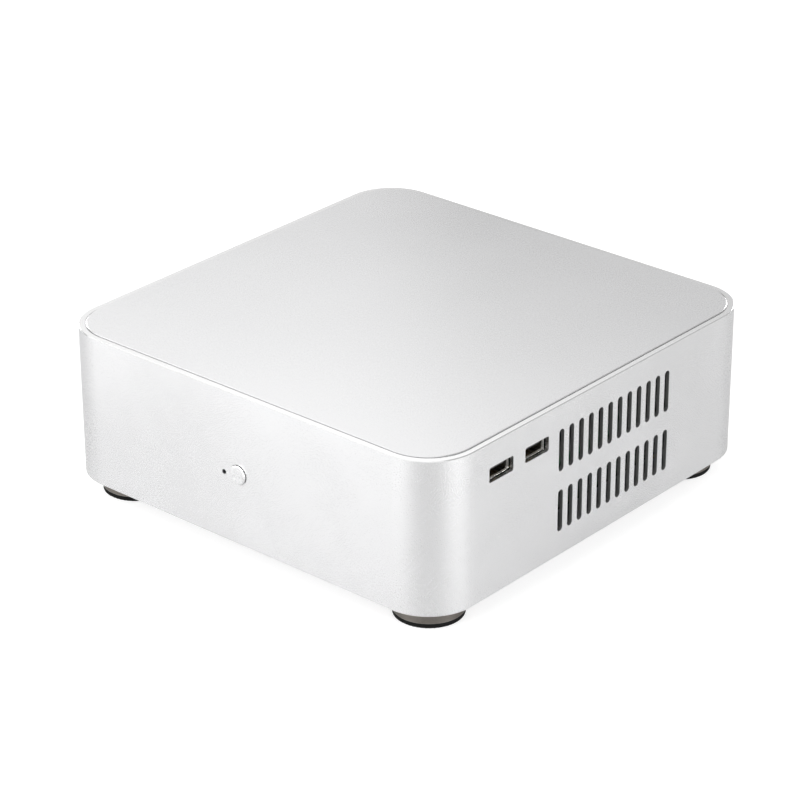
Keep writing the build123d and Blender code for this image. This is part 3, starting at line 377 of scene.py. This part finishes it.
def rounded_outline(half_width, half_height, corner, steps=8):
    """A rounded rectangle: four quarter circles of one radius about its inner corners, and straights."""
    turn = np.linspace(0, math.pi / 2, steps)
    quarters = np.arange(4)[:, None] * math.pi / 2 + turn
    sign_x = np.array([1, -1, -1, 1])[:, None]
    sign_y = np.array([1, 1, -1, -1])[:, None]
    x = sign_x * (half_width - corner) + corner * np.cos(quarters)
    y = sign_y * (half_height - corner) + corner * np.sin(quarters)
    return np.stack([x.ravel(), y.ravel()], 1)


def ring_faces(rows, columns):
    """Four-sided faces over a grid of points that closes on itself both ways."""
    row, column = np.meshgrid(np.arange(rows), np.arange(columns), indexing="ij")
    next_row, next_column = (row + 1) % rows, (column + 1) % columns
    corners = (row * columns + column, row * columns + next_column,
               next_row * columns + next_column, next_row * columns + column)
    return np.stack(corners, -1).reshape(-1, 4)


SHELL_WALL = 0.00035
SHELL_CORNER = 0.0006
MOUTH_FLARE = 0.00034
FLARE_DEPTH = 0.0012
FLARE_STEPS = 5
LIP_STEPS = 7
SHELL_SHARP_ANGLE = math.radians(50)


def socket_shell(name, node):
    """A folded socket shell with a flared mouth.

    A section through its wall runs forward outside, leans out along the flare on a quarter cosine, rolls
    over the lip on a half circle and runs back inside. At each step of it a rounded rectangle is grown by
    the section's offset.
    """
    low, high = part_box(node)
    middle_y, middle_z = (low.y + high.y) / 2, (low.z + high.z) / 2
    lip = np.linspace(-math.pi / 2, math.pi / 2, LIP_STEPS)
    lip_radius = SHELL_WALL / 2
    outer_x = np.array([low.x, high.x - FLARE_DEPTH])
    flare_t = np.linspace(0, 1, FLARE_STEPS)[1:-1]
    flare = MOUTH_FLARE * (1 - np.cos(flare_t * math.pi / 2))
    lean_x = high.x - FLARE_DEPTH + flare_t * (FLARE_DEPTH - lip_radius)
    lip_x = high.x - lip_radius + lip_radius * np.cos(lip)
    lip_grow = MOUTH_FLARE - lip_radius - lip_radius * np.sin(lip)
    section_x = np.concatenate([outer_x, lean_x, lip_x, lean_x[::-1], outer_x[::-1]])
    section_grow = np.concatenate([[0, 0], flare, lip_grow, flare[::-1] - SHELL_WALL,
                                   [-SHELL_WALL, -SHELL_WALL]])
    half_width, half_height = (high.y - low.y) / 2, (high.z - low.z) / 2
    outline = np.array([rounded_outline(half_width + grow, half_height + grow, SHELL_CORNER + grow)
                        for grow in section_grow])
    points = np.empty((len(section_x), outline.shape[1], 3))
    points[..., 0] = section_x[:, None]
    points[..., 1] = middle_y + outline[..., 0]
    points[..., 2] = middle_z + outline[..., 1]
    faces = ring_faces(*points.shape[:2])
    piece = add_piece(name, points.reshape(-1, 3), faces, nickel, "case",
                      SHELL_SHARP_ANGLE)
    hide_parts(node)


socket_shell("usb_shell_front", "usb_port_front")
socket_shell("usb_shell_rear", "usb_port_rear")


def block_template():
    """Corner signs of a block, three points at each, and the triangles of their convex hull."""
    signs = np.stack(np.meshgrid([-1.0, 1.0], [-1.0, 1.0], [-1.0, 1.0], indexing="ij"), -1).reshape(-1, 3)
    cut_back = 1.0 - np.eye(3)
    sample = (signs[:, None, :] * (1 - 0.2 * cut_back)).reshape(-1, 3)
    mesh = bpy.data.meshes.new("block_template")
    mesh.from_pydata(sample.tolist(), [], [])
    hull = bmesh.new()
    hull.from_mesh(mesh)
    bmesh.ops.convex_hull(hull, input=hull.verts)
    bmesh.ops.recalc_face_normals(hull, faces=hull.faces)
    hull.to_mesh(mesh)
    hull.free()
    corners = np.empty(len(mesh.loops), dtype=int)
    mesh.loops.foreach_get("vertex_index", corners)
    bpy.data.meshes.remove(mesh)
    return signs, cut_back, corners.reshape(-1, 3)


BLOCK_SIGNS, BLOCK_CUT_BACK, BLOCK_TRIANGLES = block_template()


def small_blocks(name, centres, sizes, edge, material, body):
    """Many blocks with their edges cut off, in one mesh.

    A corner's three points lie at its sign times half the size, less the edge on the two other axes.
    """
    centres = np.atleast_2d(np.asarray(centres, float))
    halves = np.broadcast_to(np.asarray(sizes, float) / 2, centres.shape)
    reach = halves[:, None, None, :] - edge * BLOCK_CUT_BACK[None, None]
    points = centres[:, None, None, :] + BLOCK_SIGNS[None, :, None, :] * reach
    shift = np.arange(len(centres))[:, None, None] * BLOCK_SIGNS.shape[0] * 3
    faces = (BLOCK_TRIANGLES[None] + shift).reshape(-1, 3)
    return add_piece(name, points.reshape(-1, 3), faces, material, body)


contact_gold = finish("contact_gold", rolled_sheet, 2600.0, ((0.70, 0.46, 0.16), (0.86, 0.62, 0.26)),
                      (0.18, 0.28), (0.08, 0.00003), metallic=1.0)
tongue_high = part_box("usb_tongues")[1]
MM = 0.001
CONTACT_OFFSETS = np.array([-3.5, -1.0, 1.0, 3.5]) * MM
CONTACT_SIZE = (0.0085, 0.001, 0.0003)
CONTACT_EDGE = 0.06 * MM
CONTACT_SET_BACK = 4.8 * MM
CONTACT_BELOW_MIDDLE = 0.2 * MM
socket_middles = [(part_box(node)[0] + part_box(node)[1]) / 2 for node in ("usb_port_front", "usb_port_rear")]
contact_y = (np.array([middle.y for middle in socket_middles])[:, None] + CONTACT_OFFSETS).ravel()
contact_x = np.full(contact_y.shape, tongue_high.x - CONTACT_SET_BACK)
contact_z = np.full(contact_y.shape, socket_middles[0].z - CONTACT_BELOW_MIDDLE)
small_blocks("usb_contacts", np.stack([contact_x, contact_y, contact_z], 1), CONTACT_SIZE, CONTACT_EDGE,
             contact_gold, "case")

# ---- Main board -------------------------------------------------------------
# A square board on brass posts carries the processor in its socket, the cooler,
# black chips with tinned legs and a scatter of small resistors and capacitors.

brass = finish("standoff_brass", rolled_sheet, 2000.0, ((0.55, 0.38, 0.15), (0.72, 0.54, 0.24)),
               (0.22, 0.34), (0.15, 0.00004), metallic=1.0, worn=((0.88, 0.72, 0.40), 0.0003, 0.7))
dress(brass, "board_standoffs")
socket_plastic = finish("socket_pale_plastic", moulded_skin, 2400.0, ((0.42, 0.41, 0.37), (0.56, 0.55, 0.50)),
                        (0.40, 0.55), (0.15, 0.00005), worn=((0.70, 0.69, 0.64), 0.0003, 0.5))
dress(socket_plastic, "cpu_socket")
mill_aluminium = finish("extruded_mill_aluminium", rolled_sheet, 1300.0,
                        ((0.62, 0.62, 0.63), (0.78, 0.78, 0.79)), (0.28, 0.42), (0.15, 0.00005),
                        metallic=1.0, worn=((0.90, 0.90, 0.90), 0.0003, 0.6))
dress(mill_aluminium, "board_capacitors", "cpu_heatsink", "chipset_heatsink")
ferrite = finish("pressed_ferrite", moulded_skin, 3000.0, ((0.045, 0.045, 0.047), (0.085, 0.085, 0.085)),
                 (0.48, 0.66), (0.3, 0.00006), worn=((0.16, 0.16, 0.16), 0.0004, 0.6))
dress(ferrite, "board_chokes", "fan_stator")

chip_resin = finish("chip_black_resin", moulded_skin, 4200.0, ((0.014, 0.014, 0.015), (0.026, 0.026, 0.027)),
                    (0.42, 0.56), (0.25, 0.00003), worn=((0.07, 0.07, 0.07), 0.0002, 0.5))
tin = finish("solder_tin", bead_blast, 2600.0, ((0.55, 0.55, 0.54), (0.70, 0.70, 0.68)), (0.26, 0.40),
             (0.2, 0.00004), metallic=1.0)
tan_ceramic = finish("capacitor_tan_ceramic", bead_blast, 3000.0, ((0.20, 0.13, 0.07), (0.30, 0.20, 0.11)),
                     (0.40, 0.55), (0.2, 0.00003))

board_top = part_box("motherboard")[1].z
# Chips on the main board: middle x and y, width, depth and height, in millimetres.
BOARD_CHIPS = np.array([
    (-8, -34, 14, 14, 1.4), (17, -38, 7, 7, 0.9), (35, -31, 9, 6, 1.2), (-22, -54, 5, 6, 1.5),
    (30, -48, 5, 5, 0.9), (50, -34, 6, 4, 1.2), (-70, -30, 5, 10, 1.6), (-70, 20, 6, 6, 0.9),
    (-50, -53, 8, 8, 1.1), (-70, 50, 5, 6, 1.5), (-32, 48, 9, 9, 1.2), (-48, 56, 6, 5, 1.2)]) * MM
chip_middles = np.stack([BOARD_CHIPS[:, 0], BOARD_CHIPS[:, 1], board_top + BOARD_CHIPS[:, 4] / 2], 1)
CHIP_EDGE = 0.12 * MM
small_blocks("board_chips", chip_middles, BOARD_CHIPS[:, 2:], CHIP_EDGE, chip_resin, "case")

# Legs down two sides of each chip, one pitch apart, as many as its side has room for.
LEG_PITCH = 1.2 * MM
LEG_REACH = 0.4 * MM
LEG_EDGE = 0.04 * MM
SIDE_MARGIN = 0.5 * MM
LEG_SIZE = np.array((1.1, 0.45, 0.35)) * MM
leg_steps = np.arange(-5, 6) * LEG_PITCH
chip_index, step_index, side_index = np.meshgrid(
    np.arange(len(BOARD_CHIPS)), np.arange(len(leg_steps)), (-1, 1), indexing="ij")
chosen = BOARD_CHIPS[chip_index.ravel()]
leg_y = leg_steps[step_index.ravel()]
leg_fits = np.abs(leg_y) < chosen[:, 3] / 2 - SIDE_MARGIN
leg_x = chosen[:, 0] + side_index.ravel() * (chosen[:, 2] / 2 + LEG_REACH)
legs = np.stack([leg_x, chosen[:, 1] + leg_y, np.full(leg_x.shape, board_top + LEG_SIZE[2] / 2)], 1)
small_blocks("chip_legs", legs[leg_fits], LEG_SIZE, LEG_EDGE, tin, "case")

# Small resistors and capacitors on some points of a grid over the open fields of the board.  A field is its
# low and high x and its low and high y.  They keep off the chips and off one pin header.
OPEN_FIELDS = np.array([(-26, 57, -59, -20), (-73.5, -65.5, -24, 62), (-62, -30, -62, -47),
                        (-60, -22, 40, 66)]) * MM
PART_PITCH = 2.6 * MM
CLEAR_OF_LEGS, CLEAR_OF_SIDES = 1.9 * MM, 1.4 * MM
HEADER_PLACE, HEADER_CLEAR = (48 * MM, -49.6 * MM), (8 * MM, 5 * MM)
SHARE_FILLED, SHARE_ACROSS, SHARE_TAN = 0.42, 0.5, 0.55
scatter = np.random.default_rng(7)
grid_x, grid_y = np.meshgrid(np.arange(-75 * MM, 58 * MM, PART_PITCH),
                             np.arange(-62 * MM, 70 * MM, PART_PITCH))
spots = np.stack([grid_x.ravel(), grid_y.ravel()], 1)
inside = ((spots[:, None, 0] > OPEN_FIELDS[:, 0]) & (spots[:, None, 0] < OPEN_FIELDS[:, 1])
          & (spots[:, None, 1] > OPEN_FIELDS[:, 2]) & (spots[:, None, 1] < OPEN_FIELDS[:, 3])).any(1)
beside = ((np.abs(spots[:, None, 0] - BOARD_CHIPS[:, 0]) < BOARD_CHIPS[:, 2] / 2 + CLEAR_OF_LEGS)
          & (np.abs(spots[:, None, 1] - BOARD_CHIPS[:, 1]) < BOARD_CHIPS[:, 3] / 2 + CLEAR_OF_SIDES)).any(1)
near_header = (np.abs(spots - HEADER_PLACE) < HEADER_CLEAR).all(1)
spots = spots[inside & ~beside & ~near_header]
spots = spots[scatter.random(len(spots)) < SHARE_FILLED]
lies_across = scatter.random(len(spots)) < SHARE_ACROSS
is_tan = scatter.random(len(spots)) < SHARE_TAN
PART_LONG, PART_WIDE, PART_HIGH = 1.5 * MM, 0.8 * MM, 0.55 * MM
PART_EDGE = 0.06 * MM
END_LONG = 0.35 * MM
END_PROUD = 0.06 * MM
END_EDGE = 0.05 * MM
part_sizes = np.where(lies_across[:, None], (PART_LONG, PART_WIDE, PART_HIGH),
                      (PART_WIDE, PART_LONG, PART_HIGH))
part_middles = np.column_stack([spots, np.full(len(spots), board_top + PART_HIGH / 2)])
small_blocks("board_capacitor_chips", part_middles[is_tan], part_sizes[is_tan], PART_EDGE, tan_ceramic,
             "case")
small_blocks("board_resistor_chips", part_middles[~is_tan], part_sizes[~is_tan], PART_EDGE, chip_resin,
             "case")
along = np.where(lies_across[:, None], (1.0, 0.0, 0.0), (0.0, 1.0, 0.0)) * (PART_LONG / 2 - END_LONG / 3)
end_sizes = np.where(lies_across[:, None], (END_LONG, PART_WIDE, PART_HIGH),
                     (PART_WIDE, END_LONG, PART_HIGH)) + END_PROUD
small_blocks("board_part_ends", np.concatenate([part_middles - along, part_middles + along]),
             np.concatenate([end_sizes, end_sizes]), END_EDGE, tin, "case")

# ---- Memory chips, converter parts and pins -------------------------------------
# Black resin chips are soldered on both faces of the memory boards; the upright
# converter board carries three moulded coils, and gilt pins stand in the headers.

MODULE_X = np.array((63.5, 72.4)) * MM
MODULE_HALF = 0.6 * MM
CHIP_RISE = 1.25 * MM
MEMORY_CHIP_SIZE = (CHIP_RISE, 10.6 * MM, 13.1 * MM)
memory_y = (-66.4 + 14.2 * np.arange(8) + 5.25) * MM
memory_z = board_top + 19.5 * MM
side_x = np.concatenate([MODULE_X - MODULE_HALF - CHIP_RISE / 2, MODULE_X + MODULE_HALF + CHIP_RISE / 2])
memory_grid = np.stack(np.meshgrid(side_x, memory_y, [memory_z], indexing="ij"), -1).reshape(-1, 3)
small_blocks("memory_chips", memory_grid, MEMORY_CHIP_SIZE, CHIP_EDGE, chip_resin, "case")

converter_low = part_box("power_board")[0]
converter_y = -65.7 * MM
coil_middles = [(x * MM, converter_y - 3.35 * MM, converter_low.z + 13 * MM) for x in (12, 27, 42)]
COIL_SIZE = np.array((10.1, 5.2, 10.1)) * MM
COIL_EDGE = 0.6 * MM
small_blocks("converter_coils", coil_middles, COIL_SIZE, COIL_EDGE, ferrite, "case")

HEADERS = np.array([(-14.0, -68.6), (48.0, -49.6), (-34.0, 72.0)]) * MM
PIN_PITCH = 2.54
PIN_SIZE = np.array((0.66, 0.66, 5.9)) * MM
pin_x = (-5.1 + PIN_PITCH * np.arange(5)) * MM
pin_y = np.array((-PIN_PITCH / 2, PIN_PITCH / 2)) * MM
header_index, across, deep = np.meshgrid(np.arange(3), pin_x, pin_y, indexing="ij")
pins = np.column_stack([HEADERS[header_index.ravel(), 0] + across.ravel(),
                        HEADERS[header_index.ravel(), 1] + deep.ravel(),
                        np.full(across.size, board_top + 5.6 * MM)])
small_blocks("header_pins", pins, PIN_SIZE, CHIP_EDGE, contact_gold, "case")

# ---- Rear sockets ------------------------------------------------------------------
# Each rear socket holds a moulded tongue with gold contacts; eight sprung wires
# lie in the network socket.

shield_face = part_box("io_shield")[1].y
port_face = shield_face + 1.2 * MM
USB_STACKS = ((33.0, (4.1, 11.2, 19.0, 26.3)), (12.0, (4.1, 11.2)))
usb_tongue_places = np.array([(x * MM, port_face - 5.6 * MM, board_top + (level + 0.825) * MM)
                              for x, levels in USB_STACKS for level in levels])
TONGUE_EDGE = 0.1 * MM
USB_TONGUE_SIZE = np.array((11.2, 8.9, 1.95)) * MM
small_blocks("rear_usb_tongues", usb_tongue_places, USB_TONGUE_SIZE, TONGUE_EDGE, black_plastic, "case")
rear_contacts = usb_tongue_places[:, None, :] + np.column_stack(
    [CONTACT_OFFSETS, np.zeros(4), np.full(4, -1.0 * MM)])[None]
REAR_CONTACT_SIZE = np.array((1.0, 8.5, 0.3)) * MM
small_blocks("rear_usb_contacts", rear_contacts.reshape(-1, 3), REAR_CONTACT_SIZE, CONTACT_EDGE,
             contact_gold, "case")
display_places = [(58.0 * MM, port_face - 5.2 * MM, board_top + level * MM) for level in (5.0, 15.5)]
DISPLAY_TONGUE_SIZE = np.array((11.1, 7.7, 1.1)) * MM
small_blocks("display_tongues", display_places, DISPLAY_TONGUE_SIZE, TONGUE_EDGE, black_plastic, "case")

NETWORK_X = -14.0 * MM
SPRING_PITCH = 1.02 * MM
SPRING_HALF = 0.16 * MM
spring_t = np.linspace(0, 1, 12)
spring_y = port_face - 1.8 * MM - 9.0 * MM * spring_t
spring_z = board_top + (4.2 + 3.4 * np.sin(spring_t * math.pi / 2) ** 0.7) * MM
spring_x = NETWORK_X + SPRING_PITCH * (np.arange(8) - 3.5)


def sprung_wires(name, x_places, y_path, z_path, half, material):
    """Bent wires side by side: a square section carried along one path in the YZ plane, with flat ends."""
    slope = np.stack([np.gradient(y_path), np.gradient(z_path)], 1)
    slope /= np.linalg.norm(slope, axis=1, keepdims=True)
    normal = np.stack([-slope[:, 1], slope[:, 0]], 1)
    corner_x = np.array([-1, 1, 1, -1]) * half
    corner_n = np.array([-1, -1, 1, 1]) * half
    wires, steps = len(x_places), len(y_path)
    points = np.empty((wires, steps, 4, 3))
    points[..., 0] = x_places[:, None, None] + corner_x
    points[..., 1] = (y_path[:, None] + normal[:, 0, None] * corner_n)[None]
    points[..., 2] = (z_path[:, None] + normal[:, 1, None] * corner_n)[None]
    step, corner = np.meshgrid(np.arange(steps - 1), np.arange(4), indexing="ij")
    following = (corner + 1) % 4
    here, ahead = step * 4, (step + 1) * 4
    sides = np.stack([here + corner, here + following, ahead + following, ahead + corner],
                     -1).reshape(-1, 4)
    ends = np.array([[3, 2, 1, 0], np.arange(4) + (steps - 1) * 4])
    faces = np.concatenate([sides, ends])[None] + (np.arange(wires) * steps * 4)[:, None, None]
    piece = add_piece(name, points.reshape(-1, 3), faces.reshape(-1, 4), material, "case")
    shape = bmesh.new()
    shape.from_mesh(piece.data)
    bmesh.ops.recalc_face_normals(shape, faces=shape.faces)
    shape.to_mesh(piece.data)
    shape.free()


sprung_wires("network_contacts", spring_x, spring_y, spring_z, SPRING_HALF, contact_gold)

# ---- Drive and leads ----------------------------------------------------------
# The drive lies in a tray over the board; its data lead has a red jacket and
# the other leads a black one.

drive_paint = finish("drive_black_paint", bead_blast, 2400.0, ((0.020, 0.020, 0.022), (0.045, 0.045, 0.047)),
                     (0.38, 0.50), (0.2, 0.00005), worn=((0.30, 0.30, 0.30), 0.0003, 0.5))
dress(drive_paint, "solid_state_drive")


def drawn_vinyl_group():
    """A drawn jacket: faint long waves and a fine grain. Tone: the same two, mixed."""
    group, place, grain, outlet = skin_group("drawn_vinyl")
    fine = noise(group, place, grain)
    tone = work_out(group, "MULTIPLY_ADD", work_out(group, "ADD", fine, noise(group, place, 120.0)), 0.5, 0.0)
    return close_group(group, outlet, tone, tone)


drawn_vinyl = drawn_vinyl_group()
black_jacket = finish("lead_black_vinyl", drawn_vinyl, 1600.0, ((0.012, 0.012, 0.012), (0.032, 0.032, 0.032)),
                      (0.34, 0.48), (0.2, 0.00006))
dress(black_jacket, "supply_lead", "drive_power_lead", "switch_lead", "usb_lead")
red_jacket = finish("lead_red_vinyl", drawn_vinyl, 1600.0, ((0.30, 0.012, 0.012), (0.46, 0.026, 0.022)),
                    (0.32, 0.46), (0.2, 0.00006))
dress(red_jacket, "drive_cable")

# ---- Lid ------------------------------------------------------------------------
# A flat plate let into the rim, blasted and anodised like the ring.

lid_metal = finish("lid_satin_aluminium", bead_blast, BLAST_GRAIN, SATIN_TONES, SATIN_GLOSS,
                   SATIN_RELIEF, metallic=1.0, worn=BROKEN_EDGE)
dress(lid_metal, "top_cover")

# ---- Studio -----------------------------------------------------------------------
# A long lens looks down from the front right.  Broad soft panels stand round a
# pale floor, and their reflections model the satin metal.

CAMERA_PLACE = Vector((0.737132, -0.855597, 0.588266))
CAMERA_ROUND = 0.7143
CAMERA_DOWN = 0.4557
CAMERA_ROLL = -0.0031
CAMERA_LENS = 137.6
WORLD_BRIGHTNESS = 0.45

camera_data = bpy.data.cameras.new("camera")
camera_data.sensor_width = 36.0
camera_data.lens = CAMERA_LENS
camera_data.clip_start = 0.05
camera_data.clip_end = 50.0
camera = bpy.data.objects.new("camera", camera_data)
bpy.context.scene.collection.objects.link(camera)
ahead = Vector((-math.sin(CAMERA_ROUND) * math.cos(CAMERA_DOWN),
                math.cos(CAMERA_ROUND) * math.cos(CAMERA_DOWN), -math.sin(CAMERA_DOWN)))
right = ahead.cross(Vector((0, 0, 1))).normalized()
up = right.cross(ahead)
turned_right = right * math.cos(CAMERA_ROLL) + up * math.sin(CAMERA_ROLL)
turned_up = up * math.cos(CAMERA_ROLL) - right * math.sin(CAMERA_ROLL)
camera.matrix_world = Matrix.Translation(CAMERA_PLACE) @ Matrix(
    (turned_right, turned_up, -ahead)).transposed().to_4x4()
bpy.context.scene.camera = camera


def soft_panel(name, place, aim, size, brightness):
    """A rectangular area light; its power is its brightness times pi times its area."""
    data = bpy.data.lights.new(name, "AREA")
    data.shape = "RECTANGLE"
    data.size, data.size_y = size
    data.energy = brightness * math.pi * size[0] * size[1]
    panel = bpy.data.objects.new(name, data)
    bpy.context.scene.collection.objects.link(panel)
    panel.location = place
    panel.rotation_euler = (Vector(aim) - Vector(place)).to_track_quat("-Z", "Y").to_euler()
    panel.visible_camera = False


# Each panel: its place, the point it faces, its width and height, and its brightness.
CASE_MIDDLE = (0, 0, 0.04)
LID_MIDDLE = (0, 0, 0.07)
# Two brightnesses set the panels, one for the walls and one for the lid, and each panel takes a simple
# part or multiple of one of them.
WALL_BRIGHTNESS = 35.0
LID_BRIGHTNESS = 0.55
PANELS = {
    "front_low_panel": ((-0.5, -1.1, 0.12), CASE_MIDDLE, (1.0, 0.2), WALL_BRIGHTNESS),
    "front_low_fill": ((0.0, -1.0, 0.1), CASE_MIDDLE, (0.5, 0.18), WALL_BRIGHTNESS / 4),
    "side_low_panel": ((1.2, 0.3, 0.12), CASE_MIDDLE, (1.0, 0.2), WALL_BRIGHTNESS * 0.8),
    "side_low_fill": ((1.0, -0.1, 0.1), CASE_MIDDLE, (0.5, 0.18), WALL_BRIGHTNESS / 2),
    "back_low_panel": ((0.2, 1.15, 0.14), CASE_MIDDLE, (1.2, 0.22), WALL_BRIGHTNESS / 5),
    "left_low_panel": ((-1.15, 0.1, 0.14), CASE_MIDDLE, (1.2, 0.22), WALL_BRIGHTNESS / 5),
    "front_high_panel": ((-1.3, -1.3, 0.7), CASE_MIDDLE, (1.2, 1.0), LID_BRIGHTNESS * 4),
    "lid_left_panel": ((-1.05, 0.55, 0.7), LID_MIDDLE, (1.0, 0.8), LID_BRIGHTNESS / 2),
    "lid_high_panel": ((-0.6, 0.55, 0.95), LID_MIDDLE, (0.9, 0.9), LID_BRIGHTNESS),
    "overhead_panel": ((-0.1, -0.6, 1.5), LID_MIDDLE, (2.4, 1.5), LID_BRIGHTNESS),
}
for name, (place, aim, size, brightness) in PANELS.items():
    soft_panel(name, place, aim, size, brightness)

world = bpy.data.worlds.new("studio")
world.use_nodes = True
world.node_tree.nodes["Background"].inputs["Color"].default_value = (1, 1, 1, 1)
world.node_tree.nodes["Background"].inputs["Strength"].default_value = WORLD_BRIGHTNESS
bpy.context.scene.world = world

FLOOR_REACH = 12.0
floor_mesh = bpy.data.meshes.new("floor")
floor_mesh.from_pydata([(-FLOOR_REACH, -FLOOR_REACH, 0), (FLOOR_REACH, -FLOOR_REACH, 0),
                        (FLOOR_REACH, FLOOR_REACH, 0), (-FLOOR_REACH, FLOOR_REACH, 0)], [], [(0, 1, 2, 3)])
floor = bpy.data.objects.new("floor", floor_mesh)
bpy.context.scene.collection.objects.link(floor)
paper = bpy.data.materials.new("floor_paper")
paper.use_nodes = True
paper_tree = paper.node_tree
paper_shader = paper_tree.nodes["Principled BSDF"]
paper_shader.inputs["Base Color"].default_value = (0.5, 0.5, 0.5, 1)
paper_shader.inputs["Roughness"].default_value = 1.0
paper_shader.inputs["Specular IOR Level"].default_value = 0.0
paper_shader.inputs["Emission Color"].default_value = (1, 1, 1, 1)
FLOOR_GLOW_SEEN = 0.7
FLOOR_GLOW_REFLECTED = 0.1
seen = put(paper_tree, "LightPath").outputs["Is Camera Ray"]
glow = put(paper_tree, "MapRange", Value=seen, To_Min=FLOOR_GLOW_REFLECTED, To_Max=FLOOR_GLOW_SEEN)
paper_tree.links.new(glow.outputs["Result"], paper_shader.inputs["Emission Strength"])
clear = put(paper_tree, "BsdfTransparent")
from_below = paper_tree.nodes.new("ShaderNodeNewGeometry").outputs["Backfacing"]
either = put(paper_tree, "MixShader", Fac=from_below)
paper_tree.links.new(paper_shader.outputs["BSDF"], either.inputs[1])
paper_tree.links.new(clear.outputs["BSDF"], either.inputs[2])
paper_tree.links.new(either.outputs["Shader"], paper_tree.nodes["Material Output"].inputs["Surface"])
floor.data.materials.append(paper)

bpy.context.scene.view_settings.view_transform = "Standard"
bpy.context.scene.view_settings.look = "None"
